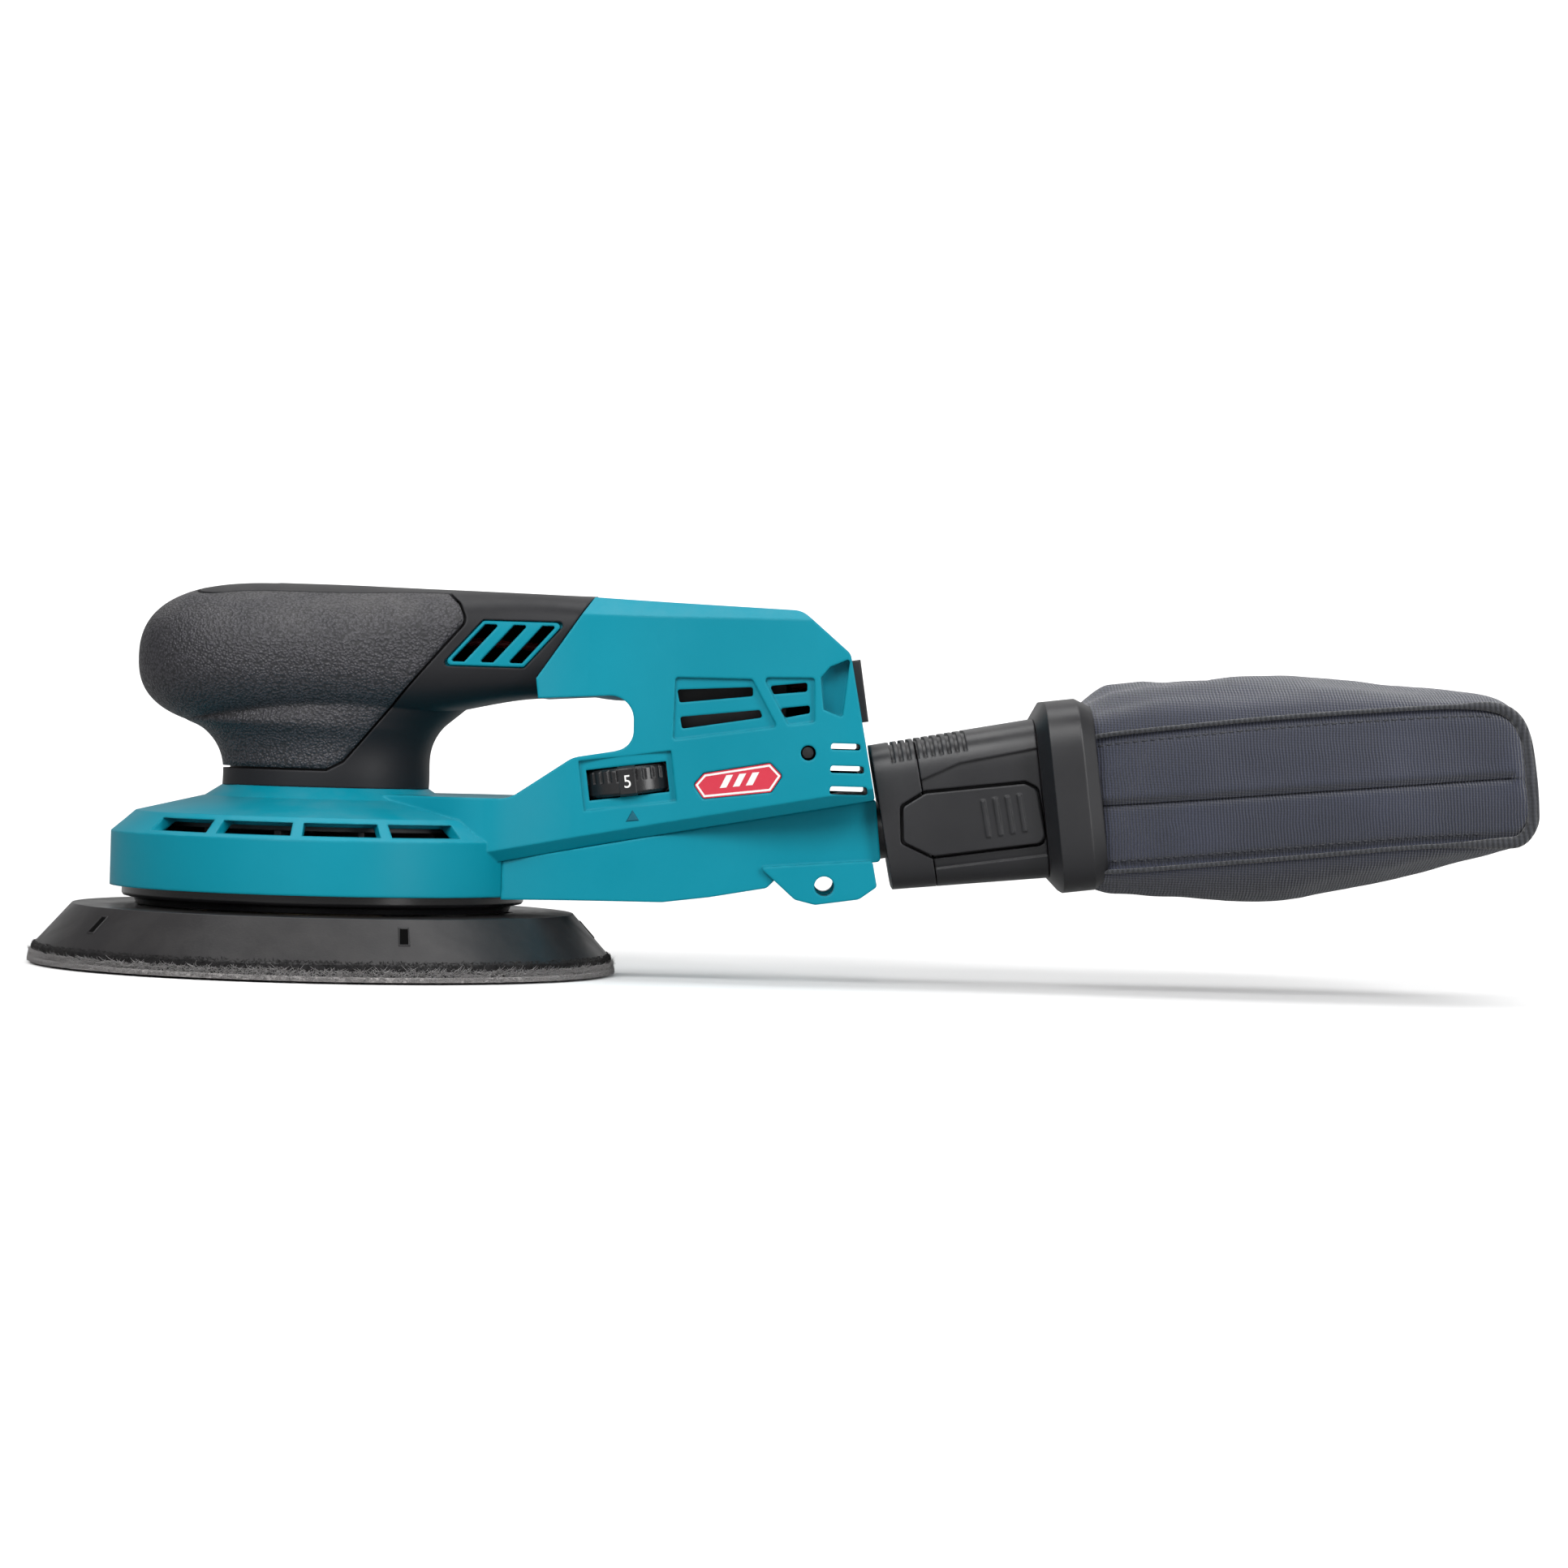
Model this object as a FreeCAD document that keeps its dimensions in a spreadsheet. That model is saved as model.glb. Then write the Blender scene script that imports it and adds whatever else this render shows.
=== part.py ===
"""Random orbital sander with a palm grip, a looped handle and a clip-on dust bag.

Millimetres, +Z up.  The origin is where the motor's axis meets the working face of the abrasive disc.
-X is the nose, +X the dust bag, and the tool's two halves meet in the plane Y = 0.
The driving sizes are in the sheet Sizes; each sub-part is one labelled object of the document.
"""
import FreeCAD
import Part
import Sketcher
import math
import os
import re
from FreeCAD import Placement, Rotation, Vector

doc = FreeCAD.newDocument("orbital_sander")

SIZES = {
    # working face and pad
    "disc_radius": (75.0, "abrasive disc"),
    "disc_thickness": (1.2, "abrasive disc"),
    "hook_thickness": (1.5, "hook layer under the pad"),
    "pad_radius": (74.2, "pad at its lower rim"),
    "pad_top_radius": (64.5, "pad at the top of its bevel"),
    "pad_height": (12.3, "pad cushion"),
    "pad_rim": (1.5, "straight rim under the bevel"),
    "dust_hole_radius": (5.0, "dust holes through disc, hooks and cushion"),
    "dust_hole_circle": (44.0, "radius of the circle of dust holes"),
    "dust_hole_count": (6, "dust holes"),
    "plate_radius": (33.0, "stiff plate let into the cushion"),
    "plate_thickness": (4.0, "stiff plate"),
    "plate_depth": (6.0, "top of the cushion down to the seat of the plate"),
    "bolt_well_radius": (12.0, "well under the plate for the pad bolt"),
    "orbit_offset": (2.5, "pad axis from motor axis, half the orbit"),
    # head
    "head_gap": (5.0, "pad top to the head's lower edge"),
    "head_radius": (54.7, "outside of the head"),
    "rim_height": (13.8, "straight rim of the head"),
    "shoulder_radius": (48.5, "outer end of the head's roof"),
    "shoulder_rise": (5.4, "rise of the rim's chamfer"),
    "roof_radius": (31.0, "inner end of the head's roof"),
    "roof_rise": (4.3, "rise of the roof"),
    "collar_rise": (2.9, "rise from roof to neck"),
    "wall": (2.5, "wall of the mouldings"),
    "grip_skin": (1.8, "elastomer over the grip"),
    "shadow_gap": (0.3, "gap between mouldings that meet"),
    "running_gap": (0.4, "gap beside what moves"),
    "exhaust_angle": (21.0, "width of an exhaust slot, degrees"),
    "exhaust_pitch": (24.1, "exhaust slots, degrees from one to the next"),
    "exhaust_lead": (1.9, "exhaust slots, degrees ahead of the side's middle"),
    "exhaust_height": (3.2, "exhaust slot"),
    # grip
    "neck_radius": (26.5, "neck under the palm grip"),
    "nose_reach": (48.5, "nose of the grip ahead of the motor axis"),
    "nose_middle": (63.0, "middle of the nose above the pad"),
    "palm_half_width": (32.0, "grip at its widest"),
    "bar_half_width": (23.0, "handle bar"),
    "grip_top": (83.5, "top of the grip above the pad"),
    "palm_bottom": (45.0, "underside of the palm above the pad"),
    "bar_rise": (10.5, "underside of the bar above the palm's"),
    "flare_radius": (13.0, "flare between neck and palm"),
    # body behind the grip
    "gap_floor": (30.0, "floor of the handle gap above the pad"),
    "gap_rear": (79.8, "rear wall of the handle gap"),
    "rear_reach": (121.7, "rear end of the top face"),
    "tail_reach": (141.2, "rear end of the body"),
    "tail_slope": (11.0, "slope of the rear face, degrees"),
    "tail_height": (68.8, "top of the rear face above the pad"),
    "crease_slope": (10.9, "slope of the seam between body and duct, degrees"),
    "crease_start": (14.4, "seam above the pad where the head ends"),
    "waist_half_width": (24.0, "body beside the handle gap"),
    "tail_half_width": (33.0, "body at the battery rails"),
    "top_chamfer": (4.5, "bevel along the body's upper edges"),
    "under_chamfer": (3.0, "bevel along the body's seam with the duct"),
    "panel_depth": (1.0, "panels round the cooling slots"),
    "recess_depth": (4.2, "recess in each side at the rear"),
    # dust path
    "duct_tilt": (10.8, "nozzle axis above level, degrees"),
    "nozzle_reach": (143.0, "mouth of the duct"),
    "nozzle_radius": (15.5, "outside of the oval nozzle, half its width"),
    "nozzle_half_height": (7.3, "outside of the oval nozzle, half its height"),
    "nozzle_length": (14.0, "nozzle past the mouth"),
    "lanyard_radius": (2.5, "hole in the lanyard ear"),
    "ear_thickness": (7.0, "lanyard ear"),
    "adapter_half_width": (23.0, "dust bag adapter"),
    "adapter_front": (11.5, "front ring of the adapter"),
    "adapter_length": (42.0, "adapter in all"),
    "collar_length": (15.0, "collar that holds the bag"),
    "collar_half_width": (30.5, "collar"),
    "collar_half_height": (24.6, "collar"),
    "bag_length": (113.0, "bag past the collar"),
    "bag_tilt": (5.2, "bag axis above level, degrees"),
    "bag_half_width": (33.0, "bag at its fullest"),
    "cloth": (1.2, "bag cloth"),
    "latch_thickness": (3.4, "side latch"),
    # motor
    "shaft_radius": (4.0, "motor shaft"),
    "bearing_radius": (11.0, "motor bearings, outside"),
    "bearing_height": (7.0, "motor bearings"),
    "pad_bearing_radius": (13.0, "pad bearing, outside"),
    "pad_bearing_height": (8.0, "pad bearing"),
    "spindle_radius": (5.0, "pad spindle in its bearing"),
    "can_wall": (0.8, "motor can"),
    "stator_height": (24.0, "stator core"),
    "rotor_radius": (10.6, "rotor core"),
    "magnet_thickness": (2.2, "rotor magnets"),
    "fan_radius": (42.0, "dust fan"),
    "fan_height": (7.5, "dust fan"),
    "fan_blades": (12, "dust fan"),
    # controls
    "dial_radius": (13.0, "speed dial"),
    "dial_height": (7.0, "speed dial"),
    "dial_reach": (78.6, "speed dial behind the motor axis"),
    "dial_level": (35.2, "middle of the speed dial above the pad"),
    "dial_tilt": (8.0, "speed dial axis from upright, degrees"),
    "button_length": (18.5, "power button"),
    "button_half_width": (7.0, "power button"),
    "button_front": (31.5, "power button's front edge ahead of the motor axis"),
}

sheet = doc.addObject("Spreadsheet::Sheet", "Sizes")
for row, (alias, (number, meaning)) in enumerate(SIZES.items(), start=1):
    sheet.set(f"A{row}", meaning)
    sheet.set(f"B{row}", str(number))
    sheet.setAlias(f"B{row}", alias)
doc.recompute()

PARTS = []


def size(alias):
    """A driving size, read back from the sheet."""
    return float(sheet.get(alias))


def bound(text):
    """An expression with each alias pointed at the sheet."""
    return re.sub(r"[a-z_]+", lambda word: "Sizes." + word[0] if word[0] in SIZES else word[0], text)


def keep(thing, label):
    """Registers an object of the document as a sub-part."""
    thing.Label = label
    PARTS.append(thing)
    return thing


def keep_shape(shape, label):
    """Registers a shape that Part's own functions made as a sub-part."""
    thing = keep(doc.addObject("Part::Feature", label), label)
    thing.Shape = shape
    return thing


# ---------------------------------------------------------------- levels and places used by many pieces
PAD_TOP_TEXT = "(disc_thickness + hook_thickness + pad_height)"
PAD_TOP = size("disc_thickness") + size("hook_thickness") + size("pad_height")
HEAD_BOTTOM = PAD_TOP + size("head_gap")
RIM_TOP = HEAD_BOTTOM + size("rim_height")
SHOULDER_TOP = RIM_TOP + size("shoulder_rise")
ROOF_TOP = SHOULDER_TOP + size("roof_rise")
NECK_BOTTOM = ROOF_TOP + size("collar_rise")
WALL = size("wall")
GAP = size("shadow_gap")
SEAM = 0.08  # between the duct and the mouldings it is screwed to
HEAD_RADIUS = size("head_radius")
NECK_RADIUS = size("neck_radius")
ORBIT = size("orbit_offset")
GRIP_TOP = PAD_TOP + size("grip_top")
FAR = 400.0  # reaches past the whole tool, for cutting tools


def above_pad(text):
    """A height above the pad's top as an expression."""
    return f"{PAD_TOP_TEXT} + {text}"


# ---------------------------------------------------------------- sketch-based pieces
def origin_plane(body, role):
    return next(f for f in body.Origin.OriginFeatures if f.Role == role)


def sketch_on(body, role, name):
    sketch = body.newObject("Sketcher::SketchObject", name)
    sketch.AttachmentSupport = (origin_plane(body, role), [""])
    sketch.MapMode = "FlatFace"
    return sketch


def sketch_outline(sketch, corners):
    """A closed outline of straight lines; each corner is a pair of expressions on the sheet."""
    count = len(corners)
    for i in range(count):
        angle = 2 * math.pi * i / count
        after = 2 * math.pi * (i + 1) / count
        start = Vector(30 + 20 * math.cos(angle), 30 + 20 * math.sin(angle), 0)
        end = Vector(30 + 20 * math.cos(after), 30 + 20 * math.sin(after), 0)
        sketch.addGeometry(Part.LineSegment(start, end), False)
    for i in range(count):
        sketch.addConstraint(Sketcher.Constraint("Coincident", i, 2, (i + 1) % count, 1))
    for i, (across, up) in enumerate(corners):
        for kind, text in (("DistanceX", across), ("DistanceY", up)):
            place = sketch.addConstraint(Sketcher.Constraint(kind, -1, 1, i, 1, 10.0))
            sketch.setExpression(f"Constraints[{place}]", bound(text))


def turned(label, corners, aside="0"):
    """A body turned about an upright axis, at Y = aside; corners are (radius, height) expressions."""
    body = doc.addObject("PartDesign::Body", label + "_body")
    sketch = sketch_on(body, "XZ_Plane", label + "_profile")
    sketch_outline(sketch, corners)
    turn = body.newObject("PartDesign::Revolution", label + "_turn")
    turn.Profile = sketch
    turn.ReferenceAxis = (sketch, ["V_Axis"])
    turn.Angle = 360
    sketch.Visibility = False
    body.setExpression("Placement.Base.y", bound(aside))
    return keep(body, label)


def add_holes(body, radius, circle, count):
    """A ring of round holes bored right through a turned body, from circle expressions."""
    name = body.Label
    doc.recompute()
    sketch = sketch_on(body, "XY_Plane", name + "_hole_place")
    sketch.addGeometry(Part.Circle(Vector(20, 0, 0), Vector(0, 0, 1), 3), False)
    sketch.addConstraint(Sketcher.Constraint("PointOnObject", 0, 3, -1))
    for kind, text in (("Radius", radius), ("DistanceX", circle)):
        if kind == "Radius":
            place = sketch.addConstraint(Sketcher.Constraint(kind, 0, 3.0))
        else:
            place = sketch.addConstraint(Sketcher.Constraint(kind, -1, 1, 0, 3, 20.0))
        sketch.setExpression(f"Constraints[{place}]", bound(text))
    hole = body.newObject("PartDesign::Pocket", name + "_hole")
    hole.Profile = sketch
    hole.Type = 1
    hole.Reversed = True
    hole.Midplane = False
    sketch.Visibility = False
    ring = body.newObject("PartDesign::PolarPattern", name + "_holes")
    ring.Originals = [hole]
    ring.Axis = (sketch, ["N_Axis"])
    ring.Angle = 360
    ring.setExpression("Occurrences", bound(count))
    body.Tip = ring
    return body


def ring_corners(inner, outer, low, high):
    return [(inner, low), (outer, low), (outer, high), (inner, high)]


# ---------------------------------------------------------------- shapes for the moulded pieces
def rounded_wire(corners):
    """A closed wire in the XZ plane from (x, z, radius) corners, each rounded with a tangent arc."""
    count = len(corners)
    ends = []
    for i, (x, z, radius) in enumerate(corners):
        here = Vector(x, 0, z)
        before = Vector(corners[i - 1][0], 0, corners[i - 1][1]) - here
        after = Vector(corners[(i + 1) % count][0], 0, corners[(i + 1) % count][1]) - here
        before.normalize()
        after.normalize()
        half = before.getAngle(after) / 2
        if radius < 0.01 or half > math.radians(89):
            ends.append((here, None, here))
            continue
        reach = radius / math.tan(half)
        bisector = before + after
        bisector.normalize()
        middle = here + bisector * (radius / math.sin(half) - radius)
        ends.append((here + before * reach, middle, here + after * reach))
    edges = []
    for i, (start, middle, end) in enumerate(ends):
        if middle is not None:
            edges.append(Part.Arc(start, middle, end).toShape())
        edges.append(Part.LineSegment(end, ends[(i + 1) % count][0]).toShape())
    return Part.Wire(edges)


def inset(corners, distance):
    """The outline moved inwards by distance, with mitred corners; corners run anticlockwise."""
    moved = []
    count = len(corners)
    for i, (x, z, radius) in enumerate(corners):
        x0, z0, _ = corners[i - 1]
        x1, z1, _ = corners[(i + 1) % count]
        ax, az = x - x0, z - z0
        bx, bz = x1 - x, z1 - z
        la, lb = math.hypot(ax, az), math.hypot(bx, bz)
        nax, naz, nbx, nbz = -az / la, ax / la, -bz / lb, bx / lb
        share = distance / (1 + nax * nbx + naz * nbz)
        moved.append((x + (nax + nbx) * share, z + (naz + nbz) * share, radius))
    return moved


def side_prism(corners, half_width, middle=0.0):
    """A side outline made solid, reaching half_width either side of Y = middle."""
    face = Part.Face(rounded_wire(corners))
    solid = face.extrude(Vector(0, 2 * half_width, 0))
    solid.translate(Vector(0, middle - half_width, 0))
    return solid


def box(low, high):
    return Part.makeBox(high[0] - low[0], high[1] - low[1], high[2] - low[2], Vector(*low))


def cylinder(radius, bottom, top, x=0.0, y=0.0):
    return Part.makeCylinder(radius, top - bottom, Vector(x, y, bottom))


def ease(x, start, end):
    """0 before start, 1 after end, and a smooth rise between."""
    share = max(0.0, min(1.0, (x - start) / (end - start)))
    return share * share * (3 - 2 * share)


def oval_wire(middle, half_across, half_up, power, across, up, points=28):
    """A closed smooth section: an ellipse at power 2, squarer at higher powers."""
    places = []
    for i in range(points):
        angle = 2 * math.pi * i / points
        c, s = math.cos(angle), math.sin(angle)
        u = math.copysign(abs(c) ** (2 / power), c) * half_across
        v = math.copysign(abs(s) ** (2 / power), s) * half_up
        places.append(middle + across * u + up * v)
    curve = Part.BSplineCurve()
    curve.interpolate(places, PeriodicFlag=True)
    return Part.Wire(curve.toShape())


def loft(wires):
    return Part.makeLoft(wires, True, False, False, 3)


def turned_shape(corners):
    """A ring or disc about the motor axis from (radius, height) corners."""
    wire = Part.makePolygon([Vector(r, 0, z) for r, z in corners + corners[:1]])
    return Part.Face(wire).revolve(Vector(0, 0, 0), Vector(0, 0, 1), 360)


def tilted(shape, tilt, x, z):
    """A shape built along +X from the origin, turned up by tilt degrees and moved to (x, z)."""
    turned_up = shape.copy()
    turned_up.Placement = Placement(Vector(x, 0, z), Rotation(Vector(0, 1, 0), -tilt)) * shape.Placement
    return turned_up


# ---------------------------------------------------------------- grip, neck and head shapes
def palm_body(depth):
    """The palm grip and handle bar, depth mm under their outer skin."""
    nose = -size("nose_reach") + depth
    round_start = -12.0
    power = 2.6
    middle = PAD_TOP + size("nose_middle")
    stations = [nose + 0.15]
    steps = 8
    for i in range(1, steps + 1):
        stations.append(round_start - (round_start - nose) * math.cos(math.pi / 2 * i / steps))
    stations += [4, 18, 32, 46, 60, size("gap_rear") + 6]
    wires = []
    for x in stations:
        inward = min(max(0.0, (round_start - x) / (round_start - nose)), 0.9995)
        share = (1 - inward ** power) ** (1 / power)
        top = GRIP_TOP - 0.022 * max(0.0, x) - depth
        rise = size("bar_rise") * ease(x, -2, 58)
        bottom = PAD_TOP + size("palm_bottom") + rise + depth
        narrowing = (size("palm_half_width") - size("bar_half_width")) * ease(x, 5, 58)
        half_width = size("palm_half_width") - narrowing - depth
        high = middle + (top - middle) * share
        low = middle - (middle - bottom) * share
        squareness = 2.3 + 1.9 * ease(x, 0, 60)
        wires.append(oval_wire(Vector(x, 0, (high + low) / 2), half_width * share, (high - low) / 2,
                               squareness, Vector(0, 1, 0), Vector(0, 0, 1)))
    return loft(wires)


SIDE_FLARE = 15.5  # the neck stops flaring sideways this far up


def flare(height, start, radius):
    """How far a quarter-round flare has spread, height above start."""
    climbed = max(0.0, min(height - start, radius * 0.995))
    return radius - math.sqrt(radius * radius - climbed * climbed)


def neck_body(depth):
    """The neck, flaring up into the palm grip, depth mm under its outer skin."""
    radius = size("flare_radius")
    front_start = NECK_BOTTOM + 3.6
    rear_start = NECK_BOTTOM + 7.1
    wires = []
    for climb in (-2.4, 1.6, 4.6, 7.6, 10.1, 12.6, 14.6, 16.1, 17.6, 26.0):
        z = NECK_BOTTOM + climb
        front = NECK_RADIUS + flare(min(z, NECK_BOTTOM + 16.2), front_start, radius) - depth
        rear = NECK_RADIUS + flare(min(z, NECK_BOTTOM + 19.6), rear_start, radius) - depth
        side = NECK_RADIUS - 2 + flare(min(z, NECK_BOTTOM + SIDE_FLARE), rear_start, radius) - depth
        wires.append(oval_wire(Vector((rear - front) / 2, 0, z), (front + rear) / 2, side,
                               2.2, Vector(1, 0, 0), Vector(0, 1, 0)))
    return loft(wires)


def grip_solid(depth):
    return palm_body(depth).fuse(neck_body(depth))


def head_solid(depth):
    """The round head, depth mm under its outer skin, open below when depth is not 0."""
    shoulder = size("shoulder_radius") - depth * 0.8
    low = HEAD_BOTTOM if depth == 0 else HEAD_BOTTOM - 1
    corners = [
        (0, low), (HEAD_RADIUS - depth, low), (HEAD_RADIUS - depth, RIM_TOP - depth * 0.4),
        (shoulder, SHOULDER_TOP - depth), (size("roof_radius") - depth * 0.4, ROOF_TOP - depth),
        (NECK_RADIUS - depth * 0.6, NECK_BOTTOM - depth * 0.6), (0, NECK_BOTTOM - depth * 0.6),
    ]
    return turned_shape(corners)


# ---------------------------------------------------------------- body behind the grip
REAR = size("gap_rear")
TAIL = size("tail_reach")
REAR_MOVED = REAR - 79.8  # how far the handle gap's rear wall is from where the details were set out
TAIL_MOVED = TAIL - 141.2  # the same for the body's rear end


def crease_height(x):
    """Height of the seam between body and duct."""
    climb = (x - 40.0) * math.tan(math.radians(size("crease_slope")))
    return PAD_TOP + size("crease_start") - 1.7 + climb


SPLIT_LOW = 55.0  # where the grip's skin ends, at the bar's underside
SPLIT_HIGH = 69.0  # and at its top
BAR_TOP = GRIP_TOP - 1.9
BAR_UNDERSIDE = PAD_TOP + size("palm_bottom") + size("bar_rise")


def split_outline(reach):
    """Everything ahead of the slanted joint between the grip's skin and the body."""
    kink = BAR_UNDERSIDE + 5.0
    return [(-FAR, -1, 0), (SPLIT_LOW + 0.6 + reach, -1, 0), (SPLIT_LOW + 0.6 + reach, BAR_UNDERSIDE, 0),
            (SPLIT_LOW + reach, kink, 0), (SPLIT_HIGH + reach, BAR_TOP + 0.2, 0),
            (SPLIT_HIGH + reach + 4, BAR_TOP + 6, 0), (-FAR, BAR_TOP + 6, 0)]


def tail_outline():
    """Side view of the body behind the grip, anticlockwise from under the head."""
    tail_top = PAD_TOP + size("tail_height")
    low = crease_height(TAIL)
    lean = (tail_top - low) * math.tan(math.radians(size("tail_slope")))
    floor = PAD_TOP + size("gap_floor")
    return [
        (10, crease_height(10), 0), (TAIL, low, 0.8), (TAIL - lean, tail_top, 3),
        (size("rear_reach"), BAR_TOP - 2.2, 6), (SPLIT_HIGH, BAR_TOP, 0), (SPLIT_LOW, BAR_UNDERSIDE + 5, 0),
        (SPLIT_LOW + 0.6, BAR_UNDERSIDE, 0), (REAR - 0.2, BAR_UNDERSIDE + 1.6, 6),
        (REAR, floor + 14.0, 5), (REAR - 5.0, floor + 12.6, 2), (64.6, floor + 10.8, 7), (49, floor, 7),
        (10, floor, 0),
    ]


def plan_wire(depth, level, slope=0.0):
    """The body's plan outline, depth mm inside its sides, on a level that climbs by slope along X."""
    waist = size("waist_half_width") - depth
    tail = size("tail_half_width") - depth
    shoulder = 33.0 - depth
    reach = TAIL + 3
    half = [(8, 24 - depth), (30, 29 - depth), (43, shoulder - 0.4), (54, waist + 4.6), (68, waist),
            (REAR + 10, waist + 0.2), (REAR + 32, (waist + tail) / 2 + 1.5), (REAR + 46, tail - 0.2),
            (reach, tail)]
    sides = []
    for sign in (1, -1):
        curve = Part.BSplineCurve()
        curve.interpolate([Vector(x, sign * y, level + slope * x) for x, y in half])
        sides.append(curve.toShape())
    low, high = level + slope * half[0][0], level + slope * reach
    front = Part.makeLine(Vector(8, -half[0][1], low), Vector(8, half[0][1], low))
    back = Part.makeLine(Vector(reach, tail, high), Vector(reach, -tail, high))
    return Part.Wire([front, sides[0], back, sides[1]])


def plan_body(depth, bevel=0.0):
    """The body's plan shape as an upright slab, with its upper edges bevelled."""
    start = 8.0
    under_bevel = BAR_TOP - bevel
    slab = Part.Face(plan_wire(depth, start)).extrude(Vector(0, 0, under_bevel - start))
    if bevel == 0:
        return slab
    return slab.fuse(Part.makeLoft([plan_wire(depth, under_bevel), plan_wire(depth + bevel, BAR_TOP)],
                                   True, True))


def undercut_body():
    """The body's plan shape, drawn in towards the seam with the duct."""
    bevel = size("under_chamfer")
    slope = math.tan(math.radians(size("crease_slope")))
    level = crease_height(0)
    upper = Part.Face(plan_wire(0, level + bevel, slope)).extrude(Vector(0, 0, 150))
    return upper.fuse(Part.makeLoft([plan_wire(bevel, level, slope), plan_wire(0, level + bevel, slope)],
                                    True, True))


def panel_outlines():
    """The two shallow panels round the cooling slots in each side."""
    outlines = [
        [(89.8, 45.9), (116.2, 49.9), (109.5, 61.8), (90.0, 61.8)],
        [(118.9, 50.4), (125.6, 51.4), (125.2, 62.5), (112.3, 62.3)],
    ]
    return [[(x + REAR_MOVED, PAD_TOP + z, 0.8) for x, z in outline] for outline in outlines]


def tail_solid():
    """The body behind the grip, solid."""
    solid = side_prism(tail_outline(), 60).common(plan_body(0, size("top_chamfer"))).common(undercut_body())
    panels = Part.makeCompound([side_prism(outline, 60) for outline in panel_outlines()])
    return solid.cut(panels.cut(plan_body(size("panel_depth"))))


def tail_cavity():
    """The hollow of the body behind the grip; the head's wall stays whole."""
    hollow = side_prism(inset(tail_outline(), WALL), 60).common(plan_body(WALL))
    return hollow.cut(cylinder(HEAD_RADIUS, 0, NECK_BOTTOM))


# ================================================================ the pieces
# ---------------------------------------------------------------- pad, turned about the pad's own axis
HOOK_TOP = "disc_thickness + hook_thickness"
SEAT = above_pad("0 - plate_depth")
PLATE_TOP = f"{SEAT} + plate_thickness"
JOURNAL_TOP = above_pad("10.8")

disc = turned("abrasive_disc", ring_corners("0", "disc_radius", "0", "disc_thickness"), "orbit_offset")
add_holes(disc, "dust_hole_radius", "dust_hole_circle", "dust_hole_count")

hooks = turned("hook_layer", ring_corners("0", "pad_radius - 0.4", "disc_thickness", HOOK_TOP),
               "orbit_offset")
add_holes(hooks, "dust_hole_radius", "dust_hole_circle", "dust_hole_count")

cushion = turned("pad_cushion", [
    ("bolt_well_radius", HOOK_TOP), ("pad_radius", HOOK_TOP), ("pad_radius", HOOK_TOP + " + pad_rim"),
    ("pad_top_radius", PAD_TOP_TEXT), ("plate_radius", PAD_TOP_TEXT), ("plate_radius", SEAT),
    ("bolt_well_radius", SEAT)], "orbit_offset")
add_holes(cushion, "dust_hole_radius", "dust_hole_circle", "dust_hole_count")

turned("pad_hub_plate", [
    ("spindle_radius - 1.8", SEAT), ("plate_radius - 0.1", SEAT), ("plate_radius - 0.1", PLATE_TOP),
    ("spindle_radius - 1.8", PLATE_TOP)], "orbit_offset")

turned("pad_spindle", [
    ("spindle_radius - 2", PLATE_TOP), ("spindle_radius + 4", PLATE_TOP),
    ("spindle_radius + 4", PLATE_TOP + " + 3"), ("spindle_radius", PLATE_TOP + " + 3.6"),
    ("spindle_radius", JOURNAL_TOP), ("0", JOURNAL_TOP), ("0", f"{JOURNAL_TOP} - 3"),
    ("spindle_radius - 2", f"{JOURNAL_TOP} - 3.6")], "orbit_offset")

turned("pad_washer", ring_corners("spindle_radius - 1.8", "bolt_well_radius - 3.5", f"{SEAT} - 0.6", SEAT),
       "orbit_offset")

turned("pad_bolt", [
    ("0", f"{SEAT} - 4.8"), ("bolt_well_radius - 5.5", f"{SEAT} - 4.8"),
    ("bolt_well_radius - 5.5", f"{SEAT} - 0.6"), ("spindle_radius - 2.05", f"{SEAT} - 0.6"),
    ("spindle_radius - 2.05", f"{JOURNAL_TOP} - 5"), ("0", f"{JOURNAL_TOP} - 4")], "orbit_offset")

# ---------------------------------------------------------------- rotor, turned about the motor axis
BEARING_LOW = above_pad("3")
BEARING_HIGH = f"{BEARING_LOW} + pad_bearing_height"
WEB_LOW = f"{BEARING_HIGH} + 0.2"
LOWER_BEARING = above_pad("24.5")
STATOR_LOW = above_pad("35.5")
STATOR_HIGH = f"{STATOR_LOW} + stator_height"
CAN_LOW = above_pad("32.2")
CAN_HIGH = f"{STATOR_HIGH} + 4.5"
CAN_RADIUS = "(neck_radius - grip_skin - wall - 2.5)"
UPPER_BEARING = f"{STATOR_HIGH} + 4"
RUNNING_FIT = "0.03"
SNUG = "0.02"

turned("pad_bearing", ring_corners(f"spindle_radius + {RUNNING_FIT}", "pad_bearing_radius", BEARING_LOW,
                                   BEARING_HIGH), "orbit_offset")
turned("motor_shaft", [
    ("0", f"{WEB_LOW} + 0.4"), ("shaft_radius", f"{WEB_LOW} + 0.4"),
    ("shaft_radius", f"{UPPER_BEARING} + bearing_height + 0.6"),
    ("0", f"{UPPER_BEARING} + bearing_height + 0.6")])
turned("rotor_core", ring_corners(f"shaft_radius + {SNUG}", "rotor_radius - magnet_thickness", STATOR_LOW,
                                  STATOR_HIGH))
turned("lower_bearing", ring_corners(f"shaft_radius + {RUNNING_FIT}", "bearing_radius", LOWER_BEARING,
                                     f"{LOWER_BEARING} + bearing_height"))
turned("upper_bearing", ring_corners(f"shaft_radius + {RUNNING_FIT}", "bearing_radius", UPPER_BEARING,
                                     f"{UPPER_BEARING} + bearing_height"))
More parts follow.
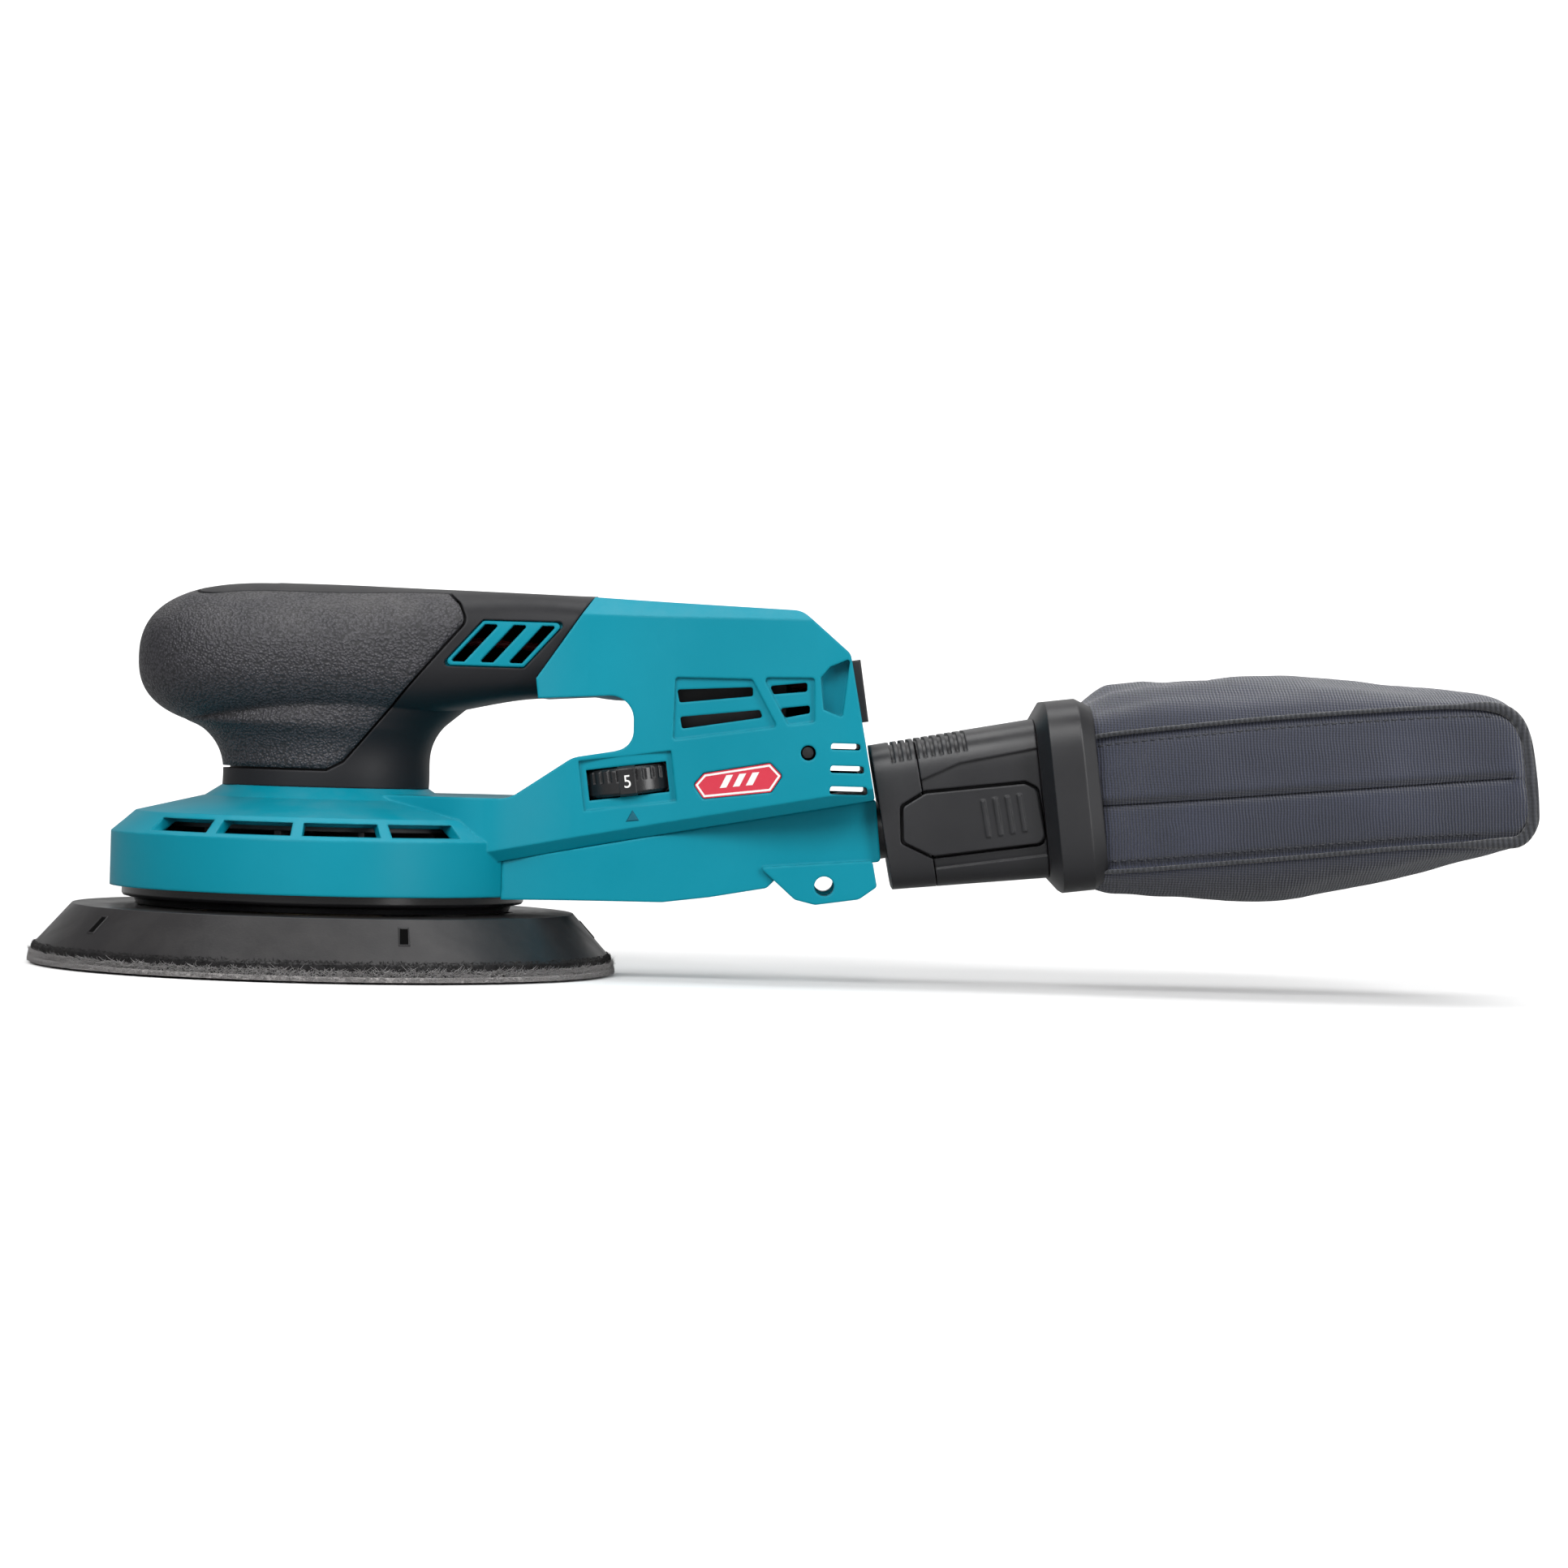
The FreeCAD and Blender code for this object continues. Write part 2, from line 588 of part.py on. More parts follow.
turned("bearing_bracket", [
    (f"bearing_radius + {SNUG}", f"{LOWER_BEARING} - 0.6"), ("bearing_radius + 3", f"{LOWER_BEARING} - 0.6"),
    ("bearing_radius + 3", f"{CAN_LOW} - 2.4"), (CAN_RADIUS, f"{CAN_LOW} - 2.4"),
    (CAN_RADIUS, CAN_LOW + " - 0.1"), (f"bearing_radius + {SNUG}", CAN_LOW + " - 0.1")])
turned("motor_can", ring_corners(f"{CAN_RADIUS} - can_wall", CAN_RADIUS, CAN_LOW, CAN_HIGH))
turned("motor_cap", [
    (f"bearing_radius + {SNUG}", f"{UPPER_BEARING} - 1"), (f"{CAN_RADIUS} - can_wall - 0.1",
                                                           f"{UPPER_BEARING} - 1"),
    (f"{CAN_RADIUS} - can_wall - 0.1", f"{UPPER_BEARING} + 0.5"),
    ("bearing_radius + 2.5", f"{UPPER_BEARING} + 2"),
    ("bearing_radius + 2.5", f"{UPPER_BEARING} + bearing_height + 0.4"),
    (f"bearing_radius + {SNUG}", f"{UPPER_BEARING} + bearing_height + 0.4")])
turned("position_sensor_board", ring_corners("rotor_radius + 2", f"{CAN_RADIUS} - can_wall - 0.3",
                                             f"{CAN_LOW} + 0.1", f"{CAN_LOW} + 1.3"))
turned("brake_ring", [
    ("head_radius - 8.7", above_pad("0.4")), ("head_radius - 6.8", above_pad("0.4")),
    ("head_radius - 6.2", above_pad("1.8")), ("head_radius - 3.5", above_pad("2.4")),
    ("head_radius - 3.1", above_pad("3.0")), ("head_radius - 3.1", above_pad("head_gap")),
    ("head_radius - wall - 0.1", above_pad("head_gap + 0.6")),
    ("head_radius - wall - 0.1", above_pad("head_gap + 4")),
    ("head_radius - 8.7", above_pad("head_gap + 4"))])


FLANGE_RADIUS = 34.0  # of the counterweight and the flange it hangs from
WEB = PAD_TOP + 3 + size("pad_bearing_height") + 0.2  # underside of the eccentric hub's web
STATOR_BOTTOM = PAD_TOP + 35.5
STATOR_TOP = STATOR_BOTTOM + size("stator_height")
CAN_INSIDE = NECK_RADIUS - size("grip_skin") - WALL - 2.5 - size("can_wall")
POLES = 6


def wedge(direction, width, radius, low, high):
    """A sector of a disc about the motor axis; direction and width in degrees."""
    sector = Part.makeCylinder(radius, high - low, Vector(0, 0, low), Vector(0, 0, 1), width)
    sector.rotate(Vector(0, 0, 0), Vector(0, 0, 1), direction - width / 2)
    return sector


def eccentric_hub():
    """The cup that carries the pad bearing off the motor axis, with a flange for the counterweight."""
    low = PAD_TOP + 2.6
    web = WEB
    seat_radius = size("pad_bearing_radius")
    cup = cylinder(seat_radius + 3.5, low, web + 3, 0, ORBIT)
    flange = turned_shape(ring_corners(0, FLANGE_RADIUS, web, web + 2.6))
    flange = flange.common(wedge(-90, 128, 60, web - 1, web + 5))
    seat = cylinder(seat_radius + 0.02, 0, web, 0, ORBIT)
    bore = cylinder(size("shaft_radius") + 0.02, web + 0.3, 60)
    return cup.fuse(flange).cut(seat).cut(bore)


def counterweight():
    web = WEB
    inner = size("pad_bearing_radius") + 7
    ring = turned_shape(ring_corners(inner, FLANGE_RADIUS, web - 6.6, web - 0.02))
    return ring.common(wedge(-90, 120, 60, 0, 60))


def fan():
    low = PAD_TOP + 14.7
    high = low + size("fan_height")
    radius = size("fan_radius")
    wheel = turned_shape([(size("shaft_radius") + 0.02, low), (8, low), (8, high - 1.5),
                          (radius, high - 1.5), (radius, high), (size("shaft_radius") + 0.02, high)])
    count = int(size("fan_blades"))
    blades = []
    for i in range(count):
        blade = box((14, -0.8, low), (radius - 0.5, 0.8, high - 1.4))
        blade.rotate(Vector(14, 0, 0), Vector(0, 0, 1), 28)
        blade.rotate(Vector(0, 0, 0), Vector(0, 0, 1), 360 * i / count)
        blades.append(blade)
    rim = cylinder(radius - 0.2, low, high)
    return wheel.fuse(Part.makeCompound(blades).common(rim))


def rotor_magnets():
    """Six curved magnets glued round the core."""
    inner = size("rotor_radius") - size("magnet_thickness") + 0.02
    ring = turned_shape(ring_corners(inner, size("rotor_radius"), STATOR_BOTTOM, STATOR_TOP))
    return Part.makeCompound([ring.common(wedge(60 * i, 54, 40, 0, 120)) for i in range(POLES)])


def stator_core():
    """Back iron with six teeth that end in shoes."""
    outer = CAN_INSIDE - 0.02
    bore = size("rotor_radius") + 0.6
    low, high = STATOR_BOTTOM, STATOR_TOP
    yoke = turned_shape(ring_corners(outer - 2.6, outer, low, high))
    shoes = turned_shape(ring_corners(bore, bore + 1.2, low, high))
    iron = yoke
    for i in range(POLES):
        tooth = box((bore + 0.5, -2, low), (outer - 1, 2, high))
        tooth.rotate(Vector(0, 0, 0), Vector(0, 0, 1), 60 * i)
        iron = iron.fuse([tooth, shoes.common(wedge(60 * i, 50, 40, 0, 120))])
    return iron.removeSplitter()


def windings():
    """One coil round each tooth."""
    outer = CAN_INSIDE - 2.9
    inner = size("rotor_radius") + 2.1
    low, high = STATOR_BOTTOM, STATOR_TOP
    coils = []
    for i in range(POLES):
        coil = box((inner, -4.2, low - 1.9), (outer, 4.2, high + 1.9))
        coil = coil.cut(box((inner - 1, -2.1, low - 0.1), (outer + 1, 2.1, high + 0.1)))
        coil = coil.common(cylinder(outer, 0, 120))
        coil.rotate(Vector(0, 0, 0), Vector(0, 0, 1), 60 * i)
        coils.append(coil)
    return Part.makeCompound(coils)


keep_shape(eccentric_hub(), "eccentric_hub")
keep_shape(counterweight(), "counterweight")
keep_shape(fan(), "dust_fan")
keep_shape(rotor_magnets(), "rotor_magnets")
keep_shape(stator_core(), "stator_core")
keep_shape(windings(), "windings")

# ---------------------------------------------------------------- housing halves
SCREWS = [(59.5, 24.5, 2.5), (REAR + 10.5, 72.0, 0.0), (REAR + 32.0, 32.8, 6.0), (REAR + 44.3, 43.6, 8.8)]
BOSS_RADIUS = 5.2
SCREW_RADIUS = 1.5
SCREW_HEAD = 3.4


def boss(x, height, radius, low=-60.0, high=60.0):
    """A round bar along Y at a screw's place."""
    return Part.makeCylinder(radius, high - low, Vector(x, low, PAD_TOP + height), Vector(0, 1, 0))


def head_seat(swell):
    """Where a screw's head sits; swell is how much wider the body is there than at its waist."""
    return size("waist_half_width") + swell - 6.0


def side_slots():
    """The cooling slots in each side, as outlines seen from the side."""
    outlines = [
        [(90.5, 58.7), (91.2, 55.4), (109.8, 57.5), (109.7, 59.8)],
        [(91.4, 51.8), (92.0, 48.8), (112.4, 52.2), (111.6, 54.1)],
        [(113.9, 60.2), (115.0, 58.1), (123.4, 59.0), (123.4, 61.3)],
        [(116.5, 54.6), (118.1, 52.3), (124.2, 53.6), (124.2, 55.6)],
        [(129.6, 44.6), (129.9, 46.2), (137.0, 46.2), (137.2, 44.6)],
        [(129.6, 38.8), (129.9, 40.6), (138.0, 40.6), (138.3, 38.8)],
        [(129.6, 33.4), (129.9, 35.4), (139.0, 35.4), (139.3, 33.4)],
    ]
    return [[(x + REAR_MOVED, PAD_TOP + z, 0.6) for x, z in outline] for outline in outlines]


def dial_box(length, height, low, high):
    """A block in the speed dial's own tilted frame, from Y = low to Y = high."""
    block = box((-length / 2, low, -height / 2), (length / 2, high, height / 2))
    return tilted(block, size("dial_tilt"), size("dial_reach"), PAD_TOP + size("dial_level"))


def badge_outline(grow):
    """The long hexagon of the badge, grown all round."""
    corners = [(95.4, 34.7, 1), (97.9, 31.3, 1), (115.0, 33.5, 1), (117.7, 37.7, 1), (114.6, 40.8, 1),
               (97.9, 37.7, 1)]
    moved = [(x + REAR_MOVED, PAD_TOP + z, r) for x, z, r in corners]
    return inset(moved, -grow)


def window_outline(grow):
    """The slanted grille window in the side of the handle."""
    corners = [(30.6, 63.0, 1.0), (51.6, 63.0, 1.0), (62.2, 75.0, 1.0), (41.0, 75.0, 1.0)]
    return inset([(x, PAD_TOP + z, r) for x, z, r in corners], -grow)


def recess_block(grow, depth):
    """The recess in each side at the rear, as blocks that reach depth mm in from the widest point."""
    outline = [(127.6, 54.6), (132.4, 52.8), (134.0, 67.6), (129.0, 65.4), (126.7, 62.6)]
    block = side_prism(inset([(x + TAIL_MOVED, PAD_TOP + z, 0.6) for x, z in outline], -grow), 60)
    middle = size("tail_half_width") - depth
    return block.cut(box((0, -middle, 0), (FAR, middle, FAR)))


def button_block(grow, low):
    """The power button's plan shape as an upright block."""
    front = -size("button_front") - grow
    back = -size("button_front") + size("button_length") + grow
    half = size("button_half_width") + grow
    block = box((front, -half, PAD_TOP + low), (back, half, PAD_TOP + 95))
    return block.makeFillet(2.5, [e for e in block.Edges if e.BoundBox.ZLength > 1])


def at_terminals(shape):
    """A shape of the battery terminals' own tilted frame, put in its place at the rear face."""
    return tilted(shape, size("tail_slope") - 2, TAIL - 5.0, PAD_TOP + 59.5)


def terminal_box(grow):
    """The battery terminal block in its tilted place at the rear face."""
    half = 15.0 + grow
    block = box((-9 - grow, -half, -8 - grow), (1.9 + grow, half, 8 + grow))
    return at_terminals(block)


def housing_shell():
    """Both halves of the moulded housing as one shell."""
    skin = size("grip_skin") + 0.05
    split = side_prism(split_outline(0), 60)
    inner_grip = grip_solid(skin)
    shell = tail_solid().fuse([head_solid(0), inner_grip])
    hollow = tail_cavity().fuse([grip_solid(skin + WALL), head_solid(WALL)])
    shell = shell.cut(hollow)
    plug = palm_body(0.25).common(side_prism(window_outline(-0.3), 60)).cut(palm_body(skin + 0.5))
    fillings = [boss(x, z, BOSS_RADIUS) for x, z, _ in SCREWS]
    fillings.append(recess_block(1.6, size("recess_depth") + 1.8))
    body = tail_solid()
    shell = shell.fuse([plug.common(split)] + [filling.common(body) for filling in fillings])
    cuts = []
    for x, z, swell in SCREWS:
        cuts.append(boss(x, z, SCREW_RADIUS + 0.1, -13))
        cuts.append(boss(x, z, SCREW_HEAD + 0.2, head_seat(swell)))
    cuts.append(boss(SCREWS[3][0], SCREWS[3][1], 1.9))
    cuts += [side_prism(outline, 60) for outline in side_slots()]
    for i in range(8):
        side = -1 if i < 4 else 1
        angle = side * (90 + size("exhaust_lead") + size("exhaust_pitch") * (i % 4 - 1.5))
        cuts.append(wedge(angle, size("exhaust_angle"), 60, RIM_TOP + 0.9,
                          RIM_TOP + 0.9 + size("exhaust_height")).cut(cylinder(HEAD_RADIUS - 9, 0, 90)))
    for i in range(3):
        x = 33.0 + 7.2 * i
        slot = [(x, PAD_TOP + 64.2, 0.4), (x + 3.6, PAD_TOP + 64.2, 0.4), (x + 12.1, PAD_TOP + 73.9, 0.4),
                (x + 8.5, PAD_TOP + 73.9, 0.4)]
        cuts.append(side_prism(slot, 60))
    waist = size("waist_half_width")
    cuts.append(dial_box(20.4, size("dial_height") + 2 * size("running_gap"), -waist - 20, -waist + WALL + 4))
    cuts.append(dial_box(23.5, 12.8, -waist - 20, -waist + 1.0))
    cuts.append(side_prism(badge_outline(0.15), 60).cut(plan_body(0.8)).cut(box((0, 0, 0), (FAR, 60, FAR))))
    cuts.append(recess_block(0, size("recess_depth")))
    cuts.append(button_block(size("running_gap"), 66))
    cuts.append(box((40, -17, HEAD_BOTTOM + 0.6), (62, 17, HEAD_BOTTOM + 7.0)))
    cuts.append(terminal_box(0.15))
    return shell.cut(Part.makeCompound(cuts))


def half_of(shape, side):
    """The part of a shape on one side of Y = 0; side is -1 for the left and 1 for the right."""
    low = -100.0 if side < 0 else 0.01
    return shape.common(box((-FAR, low, -50), (FAR, low + 99.99, 200)))


housing = housing_shell()
keep_shape(half_of(housing, -1), "housing_left")
keep_shape(half_of(housing, 1), "housing_right")


def texture_outline():
    """Side view of the textured grip, anticlockwise."""
    corners = [(-FAR, 36.6, 0), (2.2, 36.2, 0), (6.3, 38.4, 2), (36.6, 74.6, 3), (34.8, 78.6, 3),
               (24.0, 88.0, 0), (-FAR, 88.0, 0)]
    return [(x, PAD_TOP + z, r) for x, z, r in corners]


def top_strip(grow):
    """The smooth strip along the top of the grip, as an upright block with a rounded front."""
    half = 18.5 + grow
    front = -size("button_front") - 1.6 - grow
    block = box((front, -half, PAD_TOP + 70), (FAR, half, PAD_TOP + 95))
    upright = [e for e in block.Edges if e.BoundBox.ZLength > 1 and e.BoundBox.XMax < 0]
    return block.makeFillet(8.0, upright)


def grip_skins():
    """The elastomer over the grip as two pieces, textured and smooth."""
    skin = grip_solid(0).cut(grip_solid(size("grip_skin")))
    skin = skin.common(side_prism(split_outline(-GAP), 60)).cut(head_solid(0))
    skin = skin.cut(side_prism(window_outline(0.05), 60)).cut(button_block(size("running_gap"), 66))
    textured = skin.common(side_prism(texture_outline(), 60)).cut(top_strip(0))
    keep_clear = side_prism(inset(texture_outline(), -2 * GAP), 60).cut(top_strip(-2 * GAP))
    return textured, skin.cut(keep_clear)


textured_skin, smooth_skin = grip_skins()
for side, name in ((-1, "left"), (1, "right")):
    keep_shape(half_of(textured_skin, side), f"palm_grip_{name}")
    keep_shape(half_of(smooth_skin, side), f"handle_cover_{name}")
keep_shape(palm_body(0.1).common(button_block(0, 76)), "power_button")

# ---------------------------------------------------------------- switch, electronics, battery contacts
def bound_box(label, length, width, height, x, y, z):
    """A Part::Box with every size and place bound to the sheet."""
    block = doc.addObject("Part::Box", label)
    block.setExpression("Length", bound(length))
    block.setExpression("Width", bound(width))
    block.setExpression("Height", bound(height))
    block.setExpression("Placement.Base.x", bound(x))
    block.setExpression("Placement.Base.y", bound(y))
    block.setExpression("Placement.Base.z", bound(z))
    return block


keep(bound_box("switch_unit", "button_length - 5", "11", "4.6", "2.5 - button_front", "-5.5",
               above_pad("69.4")), "switch_unit")
keep(bound_box("controller", "28", "30", "20", "gap_rear + 10.5", "-15", above_pad("46")), "controller")


DIAL_MIDDLE = size("dial_radius") - size("waist_half_width") - 1.5  # Y of its axis; the rim stands proud


def potentiometer():
    """The part the dial's stub turns in."""
    block = box((-7, DIAL_MIDDLE - 7, -10.6), (7, DIAL_MIDDLE + 7, -size("dial_height") / 2 - 0.5))
    bore = Part.makeCylinder(3.03, 30, Vector(0, DIAL_MIDDLE, -15))
    return tilted(block.cut(bore), size("dial_tilt"), size("dial_reach"), PAD_TOP + size("dial_level"))


dial = turned("speed_dial", [
    ("0", "0 - dial_height / 2 - 5.6"), ("3", "0 - dial_height / 2 - 5.6"), ("3", "0 - dial_height / 2"),
    ("dial_radius - 0.7", "0 - dial_height / 2"), ("dial_radius", "0.7 - dial_height / 2"),
    ("dial_radius", "dial_height / 2 - 0.7"), ("dial_radius - 0.7", "dial_height / 2"),
    ("0", "dial_height / 2")])
add_holes(dial, "0.55", "dial_radius + 0.15", "36")
dial.Placement = Placement(Vector(0, 0, 0), Rotation(Vector(0, -1, 0), size("dial_tilt")))
dial.setExpression("Placement.Base.x", bound("dial_reach"))
dial.setExpression("Placement.Base.y", bound("dial_radius - waist_half_width - 1.5"))
dial.setExpression("Placement.Base.z", bound(above_pad("dial_level")))
keep_shape(potentiometer(), "dial_potentiometer")


BLADES = (-10.0, -4.0, 4.0, 10.0)


def terminal_block():
    """The battery terminals' insulator with its four blade slots, open at the top and behind."""
    block = terminal_box(0)
    slots = []
    for y in BLADES:
        slot = box((-5, y - 1.2, -6), (3, y + 1.2, 12))
        slots.append(at_terminals(slot))
    return block.cut(Part.makeCompound(slots))


def terminal_blades():
    blades = []
    for y in BLADES:
        blade = box((-5, y - 0.4, -5.5), (1.2, y + 0.4, 7))
        blades.append(at_terminals(blade))
    return Part.makeCompound(blades)


def lead(places, radius):
    """A wire along a smooth curve."""
    curve = Part.BSplineCurve()
    curve.interpolate([Vector(*place) for place in places])
    path = Part.Wire(curve.toShape())
    section = Part.Wire(Part.makeCircle(radius, Vector(*places[0]), curve.tangent(curve.FirstParameter)[0]))
    return path.makePipeShell([section], True, False)


def motor_leads():
    start = (REAR + 9.8, PAD_TOP + 62.0)
    wires = []
    for y in (-5.0, 0.0, 5.0):
        wires.append(lead([(start[0], y, start[1]), (REAR, y, PAD_TOP + 68), (REAR - 20, y, PAD_TOP + 68.5),
                           (42, y, PAD_TOP + 69.5), (26, y, PAD_TOP + 69), (15.0, y, PAD_TOP + 67.4)], 1.1))
    return Part.makeCompound(wires)


def battery_leads():
    wires = []
    for y in (-6.0, 6.0):
        wires.append(lead([(REAR + 39.3, y, PAD_TOP + 60), (REAR + 42, y, PAD_TOP + 61),
                           (TAIL - 15.2, y, PAD_TOP + 60)], 1.3))
    return Part.makeCompound(wires)


keep_shape(terminal_block(), "terminal_block")
keep_shape(terminal_blades(), "terminal_blades")
keep_shape(motor_leads(), "motor_leads")
keep_shape(battery_leads(), "battery_leads")


def housing_screws():
    screws = []
    for x, z, swell in SCREWS:
        seat = head_seat(swell)
        shank = boss(x, z, SCREW_RADIUS, -12, seat + 0.5)
        head = boss(x, z, SCREW_HEAD, seat + 0.02, seat + 2.4)
        recess = box((x - 0.5, seat + 1.2, PAD_TOP + z - 2.2), (x + 0.5, seat + 3, PAD_TOP + z + 2.2))
        cross = box((x - 2.2, seat + 1.2, PAD_TOP + z - 0.5), (x + 2.2, seat + 3, PAD_TOP + z + 0.5))
        screws.append(shank.fuse(head).cut(recess).cut(cross))
    return Part.makeCompound(screws)


keep_shape(housing_screws(), "housing_screws")
badge = side_prism(badge_outline(0), 60).common(plan_body(0.25)).cut(plan_body(0.78))
keep_shape(half_of(badge, -1), "side_badge")

# ---------------------------------------------------------------- dust duct, nozzle, lanyard ears
NOZZLE_X = size("nozzle_reach")
NOZZLE_Z = PAD_TOP + 24.0
DUCT_TILT = size("duct_tilt")


def duct_outline():
    """Side view of the duct under the body, anticlockwise."""
    tail = NOZZLE_X + 0.9
    top = crease_height(TAIL) - PAD_TOP - SEAM
    return [(40, 4.4, 0), (88, 4.6, 8), (100, 6.2, 8), (114.5, 8.9, 2), (118.5, 13.0, 3),
            (tail - 0.6, 16.4, 1), (tail - 2.3, top, 0.5), (40, crease_height(40) - PAD_TOP - SEAM, 0)]


def duct_plan(depth):
    """The duct's plan shape as an upright slab."""
    points = [(38, 31.0 - depth), (50, 26.4 - depth), (64, 22.4 - depth), (95, 20.0 - depth),
              (125, 18.8 - depth), (150, 18.6 - depth)]
    sides = []
    for sign in (1, -1):
        curve = Part.BSplineCurve()
        curve.interpolate([Vector(x, sign * y, 0) for x, y in points])
        sides.append(curve.toShape())
    ends = [Part.makeLine(Vector(x, -y, 0), Vector(x, y, 0)) for x, y in (points[0], points[-1])]
    return Part.Face(Part.Wire([ends[0], sides[0], ends[1], sides[1]])).extrude(Vector(0, 0, 100))


def nozzle_section(grow, along):
    """The nozzle's oval section, along mm past the duct's mouth."""
    reach = math.radians(DUCT_TILT)
    axis = Vector(math.cos(reach), 0, math.sin(reach))
    middle = Vector(NOZZLE_X, 0, NOZZLE_Z) + axis * along
    return oval_wire(middle, size("nozzle_radius") + grow, size("nozzle_half_height") + grow, 2.6,
                     Vector(0, 1, 0), Vector(-math.sin(reach), 0, math.cos(reach)))


def nozzle_bar(grow, start, end):
    return Part.makeLoft([nozzle_section(grow, start), nozzle_section(grow, end)], True, True)


def lanyard_ear(side):
    """One of the two ears under the duct's mouth."""
    outline = [(112.6, 14.2, 0.5), (121.7, 6.2, 2), (126.9, 5.0, 3), (138, 6.7, 3), (142.5, 10.0, 1),
               (141.2, 16.6, 1)]
    moved = [(x + NOZZLE_X - 143, PAD_TOP + z, r) for x, z, r in outline]
    middle = side * (20.6 - size("ear_thickness") / 2)
    return side_prism(moved, size("ear_thickness") / 2, middle)


def dust_duct():
    outline = [(x, PAD_TOP + z, r) for x, z, r in duct_outline()]
    solid = side_prism(outline, 60).common(duct_plan(0)).fuse([lanyard_ear(-1), lanyard_ear(1)])
    solid = solid.cut(cylinder(HEAD_RADIUS + SEAM, 0, 100))
    hollow = side_prism(inset(outline, 2.1), 60).common(duct_plan(2.1))
    hollow = hollow.cut(box((NOZZLE_X - 4, -60, 0), (FAR, 60, 200)))
    passage = box((48, -17, HEAD_BOTTOM + 0.6), (60, 17, HEAD_BOTTOM + 6.4))
    hole = Part.makeCylinder(size("lanyard_radius"), 100, Vector(NOZZLE_X - 13.9, -50, PAD_TOP + 9.8),
                             Vector(0, 1, 0))
    return solid.cut(hollow).cut(passage).cut(hole).cut(nozzle_bar(0.02, -20, 10))


keep_shape(dust_duct(), "dust_duct")
keep_shape(nozzle_bar(0, -3.6, size("nozzle_length")).cut(nozzle_bar(-1.8, -8, size("nozzle_length") + 3)),
           "dust_nozzle")

# ---------------------------------------------------------------- adapter, collar and bag
ADAPTER_Z = PAD_TOP + 27.4
COLLAR_TILT = 7.5
COLLAR_X = NOZZLE_X + 40.4
COLLAR_Z = PAD_TOP + 33.4


def on_adapter(shape):
    """A shape of the adapter's own frame, put in its place at the duct's mouth."""
    return tilted(shape, DUCT_TILT, NOZZLE_X, ADAPTER_Z)


def adapter_block(start, end, depth):
    """The adapter between two places along its axis, depth mm under its skin."""
    sections = []
    for along in (start, end):
        share = along / size("adapter_length")
        low = -18.6 - 3.6 * share + depth
        high = 18.7 - depth
        sections.append(oval_wire(Vector(along, 0, (low + high) / 2), size("adapter_half_width") - depth,
                                  (high - low) / 2, 6.0, Vector(0, 1, 0), Vector(0, 0, 1), 44))
    return on_adapter(Part.makeLoft(sections, True, True))


def latch_outline(grow):
    """Side view of the latch in the adapter's own frame, anticlockwise."""
    end = size("adapter_length") - 2.0
    corners = [(4.8, -6.6, 1.5), (11.5, -11.3, 2), (end - 1.0, -12.4, 2), (end + 0.2, -10.6, 1.5),
               (end, 1.0, 2), (end - 2.6, 2.9, 2), (12.0, 4.5, 3), (6.0, 2.0, 1.5)]
    return inset(corners, -grow)


def latch_prism(grow, near, far):
    """The latch's outline between two distances from the middle plane, on the -Y side."""
    return on_adapter(side_prism(latch_outline(grow), (far - near) / 2, -(far + near) / 2))


def mirrored(shape, side):
    """A shape drawn on the -Y side, moved to the side asked for."""
    return shape if side < 0 else shape.mirror(Vector(0, 0, 0), Vector(0, 1, 0))


LATCH_FACE = size("adapter_half_width") + 0.9
LATCH_BACK = LATCH_FACE - size("latch_thickness")
POCKET_FLOOR = LATCH_BACK - 3.0
SPRING_PLACE = (24.0, -4.0)


def spring_bar(radius, near, far):
    """A round bar along Y at the latch spring's place, on the -Y side."""
    place = Vector(SPRING_PLACE[0], -far, SPRING_PLACE[1])
    return on_adapter(Part.makeCylinder(radius, far - near, place, Vector(0, 1, 0)))


def latch(side):
    """A side latch with thumb ribs, bored behind for its spring."""
    plate = latch_prism(0, LATCH_BACK, LATCH_FACE)
    ribs = []
    for i in range(4):
        rib = box((25.6 + 3.1 * i, -LATCH_FACE - 0.5, -9.0), (26.7 + 3.1 * i, -LATCH_FACE + 0.5, 0.6))
        ribs.append(on_adapter(rib))
    seat = spring_bar(3.5, LATCH_BACK - 1, LATCH_FACE - 0.9)
    return mirrored(plate.fuse(ribs).cut(seat), side)


def latch_spring(side):
    """A short conical spring, drawn as three rings."""
    rings = []
    for i in range(3):
        place = Vector(SPRING_PLACE[0], -POCKET_FLOOR - 0.4 - i, SPRING_PLACE[1])
        rings.append(on_adapter(Part.makeTorus(2.7, 0.35, place, Vector(0, 1, 0))))
    return mirrored(Part.makeCompound(rings), side)


